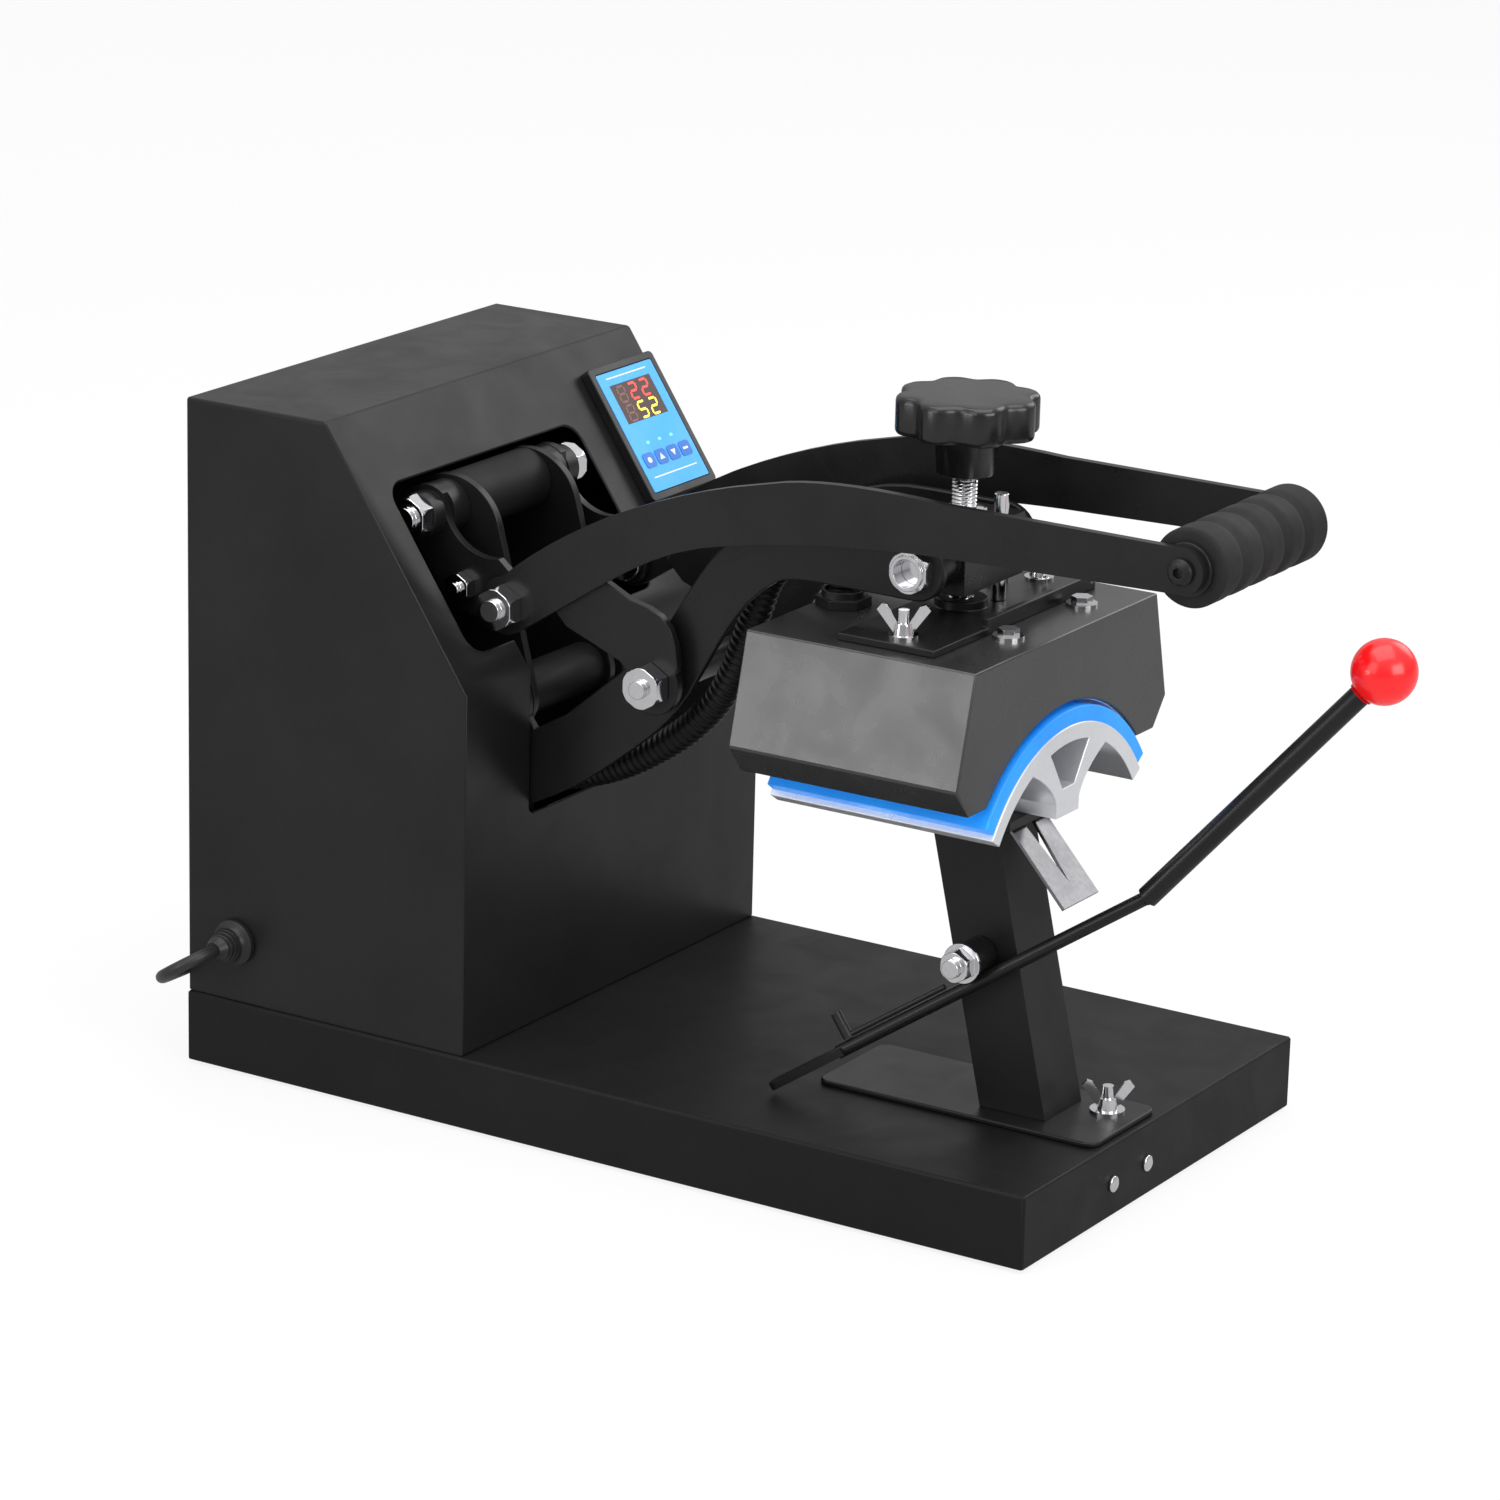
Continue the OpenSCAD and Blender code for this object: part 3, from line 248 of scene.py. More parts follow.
def roughGroup():
    # roughness between two limits, following smears and finger marks
    group, start, end = newGroup(
        "handledRoughness",
        [("Vector", "NodeSocketVector", None), ("Low", "NodeSocketFloat", 0.3),
         ("High", "NodeSocketFloat", 0.5), ("Scale", "NodeSocketFloat", 30.0)],
        [("Roughness", "NodeSocketFloat")])
    nodes, links = group.nodes, group.links
    smear = nodes.new("ShaderNodeTexNoise")
    smear.inputs["Detail"].default_value = 5.0
    smear.inputs["Distortion"].default_value = 0.6
    links.new(start.outputs["Vector"], smear.inputs["Vector"])
    links.new(start.outputs["Scale"], smear.inputs["Scale"])
    spread = nodes.new("ShaderNodeMapRange")
    spread.inputs["From Min"].default_value = 0.3
    spread.inputs["From Max"].default_value = 0.7
    links.new(smear.outputs[0], spread.inputs["Value"])
    links.new(start.outputs["Low"], spread.inputs["To Min"])
    links.new(start.outputs["High"], spread.inputs["To Max"])
    links.new(spread.outputs[0], end.inputs["Roughness"])
    return group


def grainGroup():
    # height of a fine grain: two noises of different size added together
    group, start, end = newGroup(
        "fineGrain",
        [("Vector", "NodeSocketVector", None), ("Scale", "NodeSocketFloat", 900.0),
         ("Coarse", "NodeSocketFloat", 0.3)],
        [("Height", "NodeSocketFloat")])
    nodes, links = group.nodes, group.links
    fine = nodes.new("ShaderNodeTexNoise")
    fine.inputs["Detail"].default_value = 2.0
    links.new(start.outputs["Vector"], fine.inputs["Vector"])
    links.new(start.outputs["Scale"], fine.inputs["Scale"])
    third = nodes.new("ShaderNodeMath")
    third.operation = "MULTIPLY"
    third.inputs[1].default_value = 0.3
    links.new(start.outputs["Scale"], third.inputs[0])
    wide = nodes.new("ShaderNodeTexNoise")
    wide.inputs["Detail"].default_value = 1.0
    links.new(start.outputs["Vector"], wide.inputs["Vector"])
    links.new(third.outputs[0], wide.inputs["Scale"])
    total = nodes.new("ShaderNodeMath")
    total.operation = "MULTIPLY_ADD"
    links.new(wide.outputs[0], total.inputs[0])
    links.new(start.outputs["Coarse"], total.inputs[1])
    links.new(fine.outputs[0], total.inputs[2])
    links.new(total.outputs[0], end.inputs["Height"])
    return group


toneDrift = toneGroup()
handledRoughness = roughGroup()
fineGrain = grainGroup()

finishes = {
    # dark tone, light tone, low and high roughness, grain scale, grain height in mm, other sockets
    # painted shade: the pan's coat is the black powder coat made darker and less glossy, so the pan reads
    # dimmer than the housing
    "shadedBaseCoat": ((0.0060, 0.0060, 0.0063), (0.0090, 0.0090, 0.0094), 0.40, 0.52, 900, 0.035,
                 {"Specular IOR Level": 0.16}),
    "powderCoat": ((0.0065, 0.0065, 0.0070), (0.0105, 0.0105, 0.0110), 0.32, 0.44, 900, 0.035,
                   {"Specular IOR Level": 0.24}),
    "houseCoat": ((0.0065, 0.0065, 0.0070), (0.0105, 0.0105, 0.0112), 0.30, 0.42, 900, 0.035,
                  {"Specular IOR Level": 0.27}),
    "armCoat": ((0.0060, 0.0060, 0.0064), (0.0100, 0.0100, 0.0106), 0.24, 0.36, 1100, 0.03,
                {"Specular IOR Level": 0.30}),
    "blackSteel": ((0.0070, 0.0070, 0.0076), (0.0130, 0.0130, 0.0140), 0.28, 0.42, 1200, 0.03,
                   {"Specular IOR Level": 0.35}),
    "headEnamel": ((0.0150, 0.0150, 0.0160), (0.0210, 0.0210, 0.0220), 0.24, 0.32, 1500, 0.008,
                   {"Specular IOR Level": 0.75}),
    "chromePlate": ((0.66, 0.66, 0.68), (0.82, 0.82, 0.84), 0.07, 0.18, 1400, 0.006,
                    {"Metallic": 1.0}),
    "springSteel": ((0.20, 0.20, 0.21), (0.34, 0.34, 0.35), 0.10, 0.24, 900, 0.006,
                    {"Metallic": 1.0}),
    "castAluminium": ((0.76, 0.77, 0.80), (0.88, 0.89, 0.92), 0.26, 0.42, 1600, 0.02,
                      {"Metallic": 0.75}),
    "blueSilicone": ((0.002, 0.25, 0.95), (0.005, 0.33, 1.0), 0.36, 0.50, 1400, 0.02, {}),
    "blackFoam": ((0.0070, 0.0070, 0.0076), (0.0150, 0.0150, 0.0160), 0.60, 0.78, 2200, 0.10,
                  {"Specular IOR Level": 0.3}),
    "blackPlastic": ((0.0070, 0.0070, 0.0076), (0.0130, 0.0130, 0.0140), 0.28, 0.42, 1500, 0.02,
                     {"Specular IOR Level": 0.4}),
    "knobPlastic": ((0.0065, 0.0065, 0.0070), (0.0110, 0.0110, 0.0116), 0.16, 0.28, 1500, 0.012,
                    {"Specular IOR Level": 0.5}),
    "conduitPlastic": ((0.0045, 0.0045, 0.0048), (0.0080, 0.0080, 0.0086), 0.34, 0.48, 1500, 0.02,
                       {"Specular IOR Level": 0.22}),
    "cordRubber": ((0.0090, 0.0090, 0.0096), (0.0160, 0.0160, 0.0170), 0.38, 0.52, 1600, 0.02, {}),
    "redBall": ((0.78, 0.003, 0.006), (0.88, 0.006, 0.010), 0.22, 0.30, 300, 0.004,
                {"Coat Weight": 0.15}),
    "blueMembrane": ((0.030, 0.34, 0.86), (0.045, 0.40, 0.95), 0.30, 0.42, 1200, 0.006, {}),
    "darkWindow": ((0.030, 0.007, 0.004), (0.042, 0.010, 0.006), 0.08, 0.16, 400, 0.0,
                   {"Specular IOR Level": 0.3}),
    "fibreBoard": ((0.50, 0.46, 0.38), (0.62, 0.58, 0.50), 0.80, 0.95, 700, 0.2, {}),
    "blackOxide": ((0.012, 0.012, 0.013), (0.03, 0.03, 0.032), 0.24, 0.40, 1500, 0.02,
                   {"Metallic": 0.6}),
    "sleeveSteel": ((0.0060, 0.0060, 0.0064), (0.0100, 0.0100, 0.0105), 0.46, 0.60, 1200, 0.03,
                    {"Specular IOR Level": 0.18}),
    "whiteInk": ((0.72, 0.74, 0.78), (0.82, 0.84, 0.88), 0.35, 0.5, 1200, 0.0, {}),
    "deepBlueInk": ((0.012, 0.13, 0.50), (0.018, 0.18, 0.60), 0.35, 0.5, 1200, 0.0, {}),
}
materials = {}


def buildFinish(name):
    if name in materials:
        return materials[name]
    dark, light, low, high, grain, depth, extra = finishes[name]
    material = bpy.data.materials.new(name)
    material.use_nodes = True
    nodes, links = material.node_tree.nodes, material.node_tree.links
    shader = nodes["Principled BSDF"]
    where = nodes.new("ShaderNodeTexCoord")
    tone = nodes.new("ShaderNodeGroup")
    tone.node_tree = toneDrift
    tone.inputs["Tone A"].default_value = dark + (1,)
    tone.inputs["Tone B"].default_value = light + (1,)
    links.new(where.outputs["Object"], tone.inputs["Vector"])
    links.new(tone.outputs["Color"], shader.inputs["Base Color"])
    rough = nodes.new("ShaderNodeGroup")
    rough.node_tree = handledRoughness
    rough.inputs["Low"].default_value = low
    rough.inputs["High"].default_value = high
    links.new(where.outputs["Object"], rough.inputs["Vector"])
    links.new(rough.outputs["Roughness"], shader.inputs["Roughness"])
    if depth > 0:
        peel = nodes.new("ShaderNodeGroup")
        peel.node_tree = fineGrain
        peel.inputs["Scale"].default_value = grain
        links.new(where.outputs["Object"], peel.inputs["Vector"])
        bump = nodes.new("ShaderNodeBump")
        bump.inputs["Strength"].default_value = 0.6
        bump.inputs["Distance"].default_value = depth * mm
        links.new(peel.outputs["Height"], bump.inputs["Height"])
        links.new(bump.outputs["Normal"], shader.inputs["Normal"])
    for socket, value in extra.items():
        shader.inputs[socket].default_value = value
    materials[name] = material
    return material


def glowInk(name, color, strength):
    material = bpy.data.materials.new(name)
    material.use_nodes = True
    shader = material.node_tree.nodes["Principled BSDF"]
    shader.inputs["Base Color"].default_value = color + (1,)
    shader.inputs["Emission Color"].default_value = color + (1,)
    shader.inputs["Emission Strength"].default_value = strength
    shader.inputs["Roughness"].default_value = 0.3
    materials[name] = material
    return material


glowInk("redDigits", (1.0, 0.03, 0.02), 1.2)
glowInk("yellowDigits", (1.0, 0.75, 0.05), 1.0)
glowInk("ghostDigits", (0.16, 0.05, 0.035), 0.0)
glowInk("greenLamp", (0.15, 1.0, 0.25), 1.2)
print("finishes are ready")


# making meshes
def addPiece(name, mesh, body, finish, replaced=(), smooth=True, sharpDegrees=35):
    piece = bpy.data.objects.new(name, mesh)
    bpy.context.collection.objects.link(piece)
    mesh.polygons.foreach_set("use_smooth", np.full(len(mesh.polygons), smooth))
    if smooth and sharpDegrees:
        mesh.set_sharp_from_angle(angle=math.radians(sharpDegrees))
    mesh.materials.append(buildFinish(finish))
    mesh.update()
    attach(piece, body)
    if replaced:
        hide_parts(*replaced)
    return piece


def gridMesh(name, points):
    # points is (rows, columns, 3): four neighbours make a face, each row closes on itself, ends capped
    rows, columns = points.shape[:2]
    index = np.arange(rows * columns).reshape(rows, columns)
    here, below = index[:-1], index[1:]
    hereNext, belowNext = np.roll(here, -1, axis=1), np.roll(below, -1, axis=1)
    quads = np.stack([here, hereNext, belowNext, below], axis=-1).reshape(-1, 4)
    faces = quads.tolist() + [index[0][::-1].tolist(), index[-1].tolist()]
    mesh = bpy.data.meshes.new(name)
    mesh.from_pydata(points.reshape(-1, 3), [], faces)
    mesh.validate()
    return mesh


def faceOutwards(mesh):
    work = bmesh.new()
    work.from_mesh(mesh)
    bmesh.ops.remove_doubles(work, verts=work.verts, dist=1e-7)
    bmesh.ops.recalc_face_normals(work, faces=work.faces)
    work.to_mesh(mesh)
    work.free()
    return mesh


def joinMeshes(name, meshes):
    work = bmesh.new()
    for m in meshes:
        work.from_mesh(m)
        bpy.data.meshes.remove(m)
    mesh = bpy.data.meshes.new(name)
    work.to_mesh(mesh)
    work.free()
    return mesh


def turned(name, profile, origin, axis, sides):
    # profile is (distance along the axis, radius) in mm: each row is a ring round the axis
    profile = np.array(profile, float)
    along = Vector(axis).normalized()
    side = along.orthogonal().normalized()
    other = along.cross(side)
    angle = np.linspace(0, tau, sides, endpoint=False)
    ring = np.cos(angle)[:, None] * np.array(side) + np.sin(angle)[:, None] * np.array(other)
    reach = profile[:, 0, None, None] * np.array(along)
    points = np.array(origin) + reach + profile[:, 1, None, None] * ring
    return faceOutwards(gridMesh(name, points * mm))


def pathFrames(path):
    # tangents by central differences, and a side direction carried along without twisting
    tangent = np.gradient(path, axis=0)
    tangent /= np.linalg.norm(tangent, axis=1)[:, None]
    side = np.zeros_like(path)
    start = np.cross(tangent[0], [0.3, 0.2, 0.93])
    side[0] = start / np.linalg.norm(start)
    for i in range(1, len(path)):
        step = side[i - 1] - tangent[i] * np.dot(side[i - 1], tangent[i])
        side[i] = step / np.linalg.norm(step)
    return tangent, side, np.cross(tangent, side)


def tubeMesh(name, path, radius, sides):
    # a round section of the given radii carried along the path
    path = np.asarray(path, float)
    _, side, other = pathFrames(path)
    radius = np.broadcast_to(radius, len(path))
    angle = np.linspace(0, tau, sides, endpoint=False)
    across, upward = np.cos(angle)[None, :, None], np.sin(angle)[None, :, None]
    ring = across * side[:, None] + upward * other[:, None]
    points = path[:, None] + radius[:, None, None] * ring
    return faceOutwards(gridMesh(name, points * mm))


def smoothPath(points, count):
    # a Catmull-Rom curve through the points, sampled evenly along its length
    points = np.asarray(points, float)
    padded = np.vstack([2 * points[0] - points[1], points, 2 * points[-1] - points[-2]])
    t = np.linspace(0, len(points) - 1 - 1e-9, count * 4)
    i = t.astype(int)
    f = (t - i)[:, None]
    a, b, c, d = padded[i], padded[i + 1], padded[i + 2], padded[i + 3]
    dense = 0.5 * (2 * b + (c - a) * f + (2 * a - 5 * b + 4 * c - d) * f ** 2
                   + (3 * b - a - 3 * c + d) * f ** 3)
    reach = np.concatenate([[0], np.cumsum(np.linalg.norm(np.diff(dense, axis=0), axis=1))])
    even = np.linspace(0, reach[-1], count)
    return np.stack([np.interp(even, reach, dense[:, k]) for k in range(3)], axis=1)


edgeSet = {"merge": 2e-5, "flatDegrees": 0.6, "sharpDegrees": 32, "bevelDegrees": 40}


def softened(nodeName, body, finish, width, segments=2, name=None):
    # a merged copy of a CAD node whose sharp edges are rounded as bent sheet and cut plate are
    name = name or nodeName + "Soft"
    work = bmesh.new()
    work.from_mesh(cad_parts[nodeName].data)
    bmesh.ops.remove_doubles(work, verts=work.verts, dist=edgeSet["merge"])
    bmesh.ops.dissolve_limit(work, angle_limit=math.radians(edgeSet["flatDegrees"]), verts=work.verts,
                             edges=work.edges)
    mesh = bpy.data.meshes.new(name)
    work.to_mesh(mesh)
    work.free()
    piece = addPiece(name, mesh, body, finish, [nodeName],
                     sharpDegrees=edgeSet["sharpDegrees"])
    bevel = piece.modifiers.new("roundedEdges", "BEVEL")
    bevel.width = width * mm
    bevel.segments = segments
    bevel.limit_method = "ANGLE"
    bevel.angle_limit = math.radians(edgeSet["bevelDegrees"])
    bevel.use_clamp_overlap = True
    even = piece.modifiers.new("evenShading", "WEIGHTED_NORMAL")
    even.mode = "FACE_AREA"
    even.weight = 100
    even.keep_sharp = True
    return piece


# mains cord
cordSet = {
    "diameter": 7.0,
    "route": [
        [-169, 237, 78], [-175, 237.2, 77.9], [-181, 239, 76.7], [-186, 243, 74.1],
        [-188, 249.5, 69.9], [-186.5, 256.5, 65.4], [-182, 262.5, 61.6], [-175, 267.5, 58.3],
        [-166, 271.5, 55.7], [-155, 274.8, 53.6], [-142, 277.5, 51.9], [-128, 279.8, 50.4],
        [-114, 282.5, 45], [-101, 285.5, 36], [-88, 289, 25], [-76, 292.5, 14.5], [-63, 296.5, 6.8],
        [-49, 300, 3.8], [-33, 303, 3.8], [-16, 305, 3.8], [2, 305, 3.8], [22, 305, 3.8],
        [46, 305, 3.8], [70, 305, 3.8]],
    "coilCentre": (78, 343),
    "coilRadius": 38,
    "coilPitch": 7.8,
    "coilTurns": 4,
    "tail": [[12, -0.5, 34.9], [24, -1, 34.2], [36, -1.5, 30.6], [47, -2, 24.4], [58, -2, 17.6],
             [69, -2, 12.6], [80, -2, 11], [88, -2, 11]],
    "lowest": 3.8, "samples": 620, "sides": 14,
}


def buildCord(c):
    # the coil is a helix: angle grows evenly and the height by one pitch for each turn
    cx, cy = c["coilCentre"]
    turn = np.linspace(0, c["coilTurns"], c["coilTurns"] * 24 + 1)
    angle = np.radians(-90) + turn * tau
    coil = np.stack([cx + c["coilRadius"] * np.cos(angle), cy + c["coilRadius"] * np.sin(angle),
                     c["lowest"] + c["coilPitch"] * turn], axis=1)
    tail = np.array(c["tail"], float) + np.array([cx, cy - c["coilRadius"], 0])
    line = smoothPath(np.vstack([c["route"], coil, tail]), c["samples"])
    mesh = tubeMesh("mainsCord", line, c["diameter"] / 2, c["sides"])
    piece = addPiece("mainsCord", mesh, "frame", "cordRubber", ["cord", "cord_coil"])
    plug = softened("plug", "frame", "blackPlastic", 1.6, 3, "mainsPlug")


buildCord(cordSet)


# sheet steel and plates
softNodes = {
    # CAD node: body, finish, slot, edge width in mm
    "base_pan": ("frame", "shadedBaseCoat", "black_powder_coat", 1.3),
    "housing_shell": ("frame", "houseCoat", "black_powder_coat", 1.4),
    "foot_plate": ("frame", "houseCoat", "black_powder_coat", 0.8),
    "post": ("frame", "powderCoat", "black_powder_coat", 2.4),
    "platen_bracket": ("frame", "powderCoat", "black_powder_coat", 0.7),
    "frame_plate_left": ("frame", "armCoat", "black_powder_coat", 0.5),
    "frame_plate_right": ("frame", "armCoat", "black_powder_coat", 0.5),
    "axle_sleeves": ("frame", "sleeveSteel", "black_steel", 0.6),
    "pivot_washers": ("frame", "chromePlate", "chrome_fasteners", 0.3),
    "control_bezel": ("frame", "blackPlastic", "black_powder_coat", 0.8),
    "platen": ("frame", "castAluminium", "cast_aluminium", 0.6),
    "lever_pivot_bolt": ("frame", "chromePlate", "chrome_fasteners", 0.3),
    "foot_wing_nut": ("frame", "chromePlate", "chrome_fasteners", 0.5),
    "front_rivets": ("frame", "chromePlate", "chrome_fasteners", 0.3),
    "rear_screws": ("frame", "chromePlate", "chrome_fasteners", 0.3),
    "brim_hook": ("frame", "springSteel", "dark_spring_steel", 0.3),
    "head_arm_left": ("head_arm", "armCoat", "black_powder_coat", 0.9),
    "head_arm_right": ("head_arm", "armCoat", "black_powder_coat", 0.9),
    "arm_spreader": ("head_arm", "blackSteel", "black_steel", 0.4),
    "elbow_spacers": ("head_arm", "blackSteel", "black_steel", 0.4),
    "lower_axle": ("head_arm", "chromePlate", "chrome_fasteners", 0.3),
    "elbow_bolt": ("head_arm", "chromePlate", "chrome_fasteners", 0.3),
    "cross_shaft": ("head_arm", "chromePlate", "chrome_fasteners", 0.3),
    "cross_nuts": ("head_arm", "chromePlate", "chrome_fasteners", 0.3),
    "yoke_block": ("head_arm", "armCoat", "black_powder_coat", 1.2),
    "handle_arm_left": ("handle", "armCoat", "black_powder_coat", 0.9),
    "handle_arm_right": ("handle", "armCoat", "black_powder_coat", 0.9),
    "elbow_bracket_left": ("handle", "armCoat", "black_powder_coat", 0.5),
    "elbow_bracket_right": ("handle", "armCoat", "black_powder_coat", 0.5),
    "grip_screws": ("handle", "blackOxide", "black_screws", 0.3),
    "grip_tube": ("handle", "blackSteel", "black_steel", 0.3),
    "handle_pivot_bolts": ("handle", "chromePlate", "chrome_fasteners", 0.3),
    "link_left": ("links", "armCoat", "black_powder_coat", 0.5),
    "link_right": ("links", "armCoat", "black_powder_coat", 0.5),
    "upper_axle": ("links", "chromePlate", "chrome_fasteners", 0.3),
    "link_stop_bolts": ("links", "chromePlate", "chrome_fasteners", 0.3),
    "head_shell": ("head", "headEnamel", "satin_head_paint", 1.6),
    "heater_block": ("head", "castAluminium", "cast_aluminium", 0.5),
    "head_bracket": ("head", "armCoat", "black_powder_coat", 0.6),
    "head_fasteners": ("head", "chromePlate", "chrome_fasteners", 0.4),
    "guide_rod": ("head", "chromePlate", "chrome_fasteners", 0.5),
    "head_gland": ("head", "blackPlastic", "black_plastic", 0.5),
    "lever_rod": ("lever", "armCoat", "black_powder_coat", 0.5),
    "lever_sleeve": ("lever", "armCoat", "black_powder_coat", 0.5),
    "lever_strap": ("lever", "blackSteel", "chrome_fasteners", 0.4),
}
for nodeName, (body, finish, slotName, width) in softNodes.items():
    softened(nodeName, body, finish, width)

plainNodes = {
    "base_cover": "blackSteel", "control_panel": "blueMembrane", "display_window": "darkWindow",
    "head_insulation": "fibreBoard", "rear_cover": "powderCoat",
}
for nodeName, finish in plainNodes.items():
    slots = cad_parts[nodeName].data.materials
    slots.clear()
    slots.append(buildFinish(finish))
print("plates and sheet steel are dressed")


# cable gland, knob, ball, foam and rubber
glandSet = {
    "place": (-148.0, 237.0, 78.0), "sides": 40,
    # distance from the housing, radius: a flange, then ribs that get smaller towards the cord
    "profile": [(0, 3), (0, 12.4), (0.6, 13.0), (3.4, 13.0), (4.2, 12.2), (5.0, 11.2), (6.6, 9.6),
                (8, 9.2), (9.2, 9.2), (9.5, 8.4), (10.4, 8.4), (10.7, 9.0), (11.9, 8.8), (12.2, 7.9),
                (13.2, 7.9), (13.5, 8.3), (14.7, 8.0), (15.0, 7.1), (16.0, 7.0), (16.3, 7.4),
                (17.5, 6.9), (18.4, 6.0), (20.4, 5.4), (21.0, 5.0), (21.0, 3.6)],
}


def buildGland(g):
    mesh = turned("strainRelief", g["profile"], g["place"], (-1, 0, 0), g["sides"])
    addPiece("strainRelief", mesh, "frame", "blackPlastic", ["cable_gland"])


buildGland(glandSet)

knobSet = {
    "centre": (-35.0, -154.0), "foot": 407.0, "height": 21.0, "radius": 38.5, "lobes": 8, "hub": 22.0,
    "valley": 4.8, "roundness": 1.5, "sides": 480,
}


def buildKnob(k):
    # radius at angle a: soft wavy lobes; each row shrinks it near the top and bottom edges
    a = np.linspace(0, tau, k["sides"], endpoint=False)
    dip = (0.5 - 0.5 * np.cos(a * k["lobes"])) ** k["roundness"]
    cx, cy = k["centre"]

    def row(r, z):
        return np.stack([cx + r * np.cos(a), cy + r * np.sin(a), np.full_like(a, k["foot"] + z)], axis=1)

    high, hub = k["height"], k["hub"]
    under = [row(r, z) for r, z in [(6.6, -hub), (14.6, -hub), (15.4, -hub + 0.8), (16.8, -3.0),
                                    (18.5, -0.6), (22.0, 0.0)]]
    rim = [row(k["radius"] + inset - k["valley"] * dip, z)
           for z, inset in [(0.0, -2.6), (0.4, -1.0), (1.6, -0.2), (3.0, 0), (high - 3.4, 0),
                            (high - 1.8, -0.4), (high - 0.7, -1.4), (high, -3.2)]]
    crown = [row(r, high) for r in (26.0, 18.0, 10.0, 3.0)]
    mesh = faceOutwards(gridMesh("starKnob", np.array(under + rim + crown) * mm))
    addPiece("starKnob", mesh, "knob", "knobPlastic", ["pressure_knob"],
             sharpDegrees=50)


buildKnob(knobSet)

spindleSet = {
    "centre": (-35.0, -154.0), "from": 312.5, "to": 385.5, "radius": 7.0, "pitch": 2.0, "depth": 0.7,
    "nut": 360.5, "nutRows": [(0, 10.2), (0.7, 11.9), (6.3, 11.9), (7, 10.2)], "sides": 32,
}


def threadMesh(name, s):
    # the radius falls by the thread depth in a triangle wave of height and angle together
    x, y = s["centre"]
    length = s["to"] - s["from"]
    steps = int(length / s["pitch"] * 8) + 1
    z = np.linspace(0, length, steps)[:, None]
    a = np.linspace(0, tau, s["sides"], endpoint=False)[None, :]
    r = s["radius"] - s["depth"] * np.abs(2 * ((z / s["pitch"] - a / tau) % 1) - 1)
    along = Vector((0, 0, 1))
    side = along.orthogonal().normalized()
    other = along.cross(side)
    points = (np.array((x, y, s["from"])) + z[..., None] * np.array(along)
              + (r * np.cos(a))[..., None] * np.array(side)
              + (r * np.sin(a))[..., None] * np.array(other))
    return faceOutwards(gridMesh(name, points * mm))


def buildSpindle(s):
    x, y = s["centre"]
    corners = np.radians(np.arange(6) * 60)
    nut = np.array([[(x + r * math.cos(q), y + r * math.sin(q), s["nut"] + z) for q in corners]
                    for z, r in s["nutRows"]])
    nutMesh = faceOutwards(gridMesh("nut", nut * mm))
    mesh = joinMeshes("threadedSpindle", [threadMesh("rod", s), nutMesh])
    addPiece("threadedSpindle", mesh, "knob", "chromePlate", ["spindle"],
             sharpDegrees=40)


buildSpindle(spindleSet)

ballSet = {
    "centre": (-6.0, -387.0, 311.0), "radius": 17.4, "bend": (-42.0, -276.0, 177.5), "sides": 64,
    "collar": [(-16.9, 6.3), (-17.3, 7.0)],
}


def buildBall(b):
    # a sphere in latitude rows about the lever's axis, with a short collar where the rod enters
    axis = Vector(b["centre"]) - Vector(b["bend"])
    lat = np.radians(np.linspace(-89, 72, 46))[::-1]
    rows = [(b["radius"] * math.sin(-q), b["radius"] * math.cos(q)) for q in lat]
    mesh = turned("leverBall", b["collar"] + rows, b["centre"], axis, b["sides"])
    addPiece("leverBall", mesh, "lever", "redBall", ["lever_ball"])


buildBall(ballSet)

foamSet = {
    "centre": (-35.0, -317.0, 372.6), "length": 113.6, "radius": 20.9, "dip": 2.2, "bumps": 5,
    "edge": 2.2, "bore": 14.3, "sides": 64,
}


def buildFoamGrip(f):
    # radius along the grip: a row of soft swells between two rounded ends
    x = np.linspace(0, 1, 121)
    fromEnd = np.minimum(x, 1 - x)
    swell = f["radius"] - f["dip"] * (0.5 + 0.5 * np.cos(x * tau * f["bumps"])) ** 4
    swell = np.where(fromEnd < 0.5 / f["bumps"], f["radius"], swell)
    edge = np.minimum(fromEnd * f["length"] / f["edge"], 1)
    radius = swell - f["edge"] * (1 - np.sqrt(1 - (1 - edge) ** 2))
    rows = np.stack([x * f["length"] - f["length"] / 2, radius], axis=1)
    rows = np.vstack([[rows[0, 0], f["bore"]], rows, [rows[-1, 0], f["bore"]]])
    mesh = turned("foamGrip", rows, f["centre"], (1, 0, 0), f["sides"])
    piece = addPiece("foamGrip", mesh, "handle", "blackFoam", ["foam_grip"],
                     sharpDegrees=60)


buildFoamGrip(foamSet)

padSet = {
    "centre": (-35.0, 165.0), "inner": 94.5, "outer": 103.0, "half": 55.0, "front": -222.0,
    "back": -89.0, "edge": 1.3, "steps": 91,
}


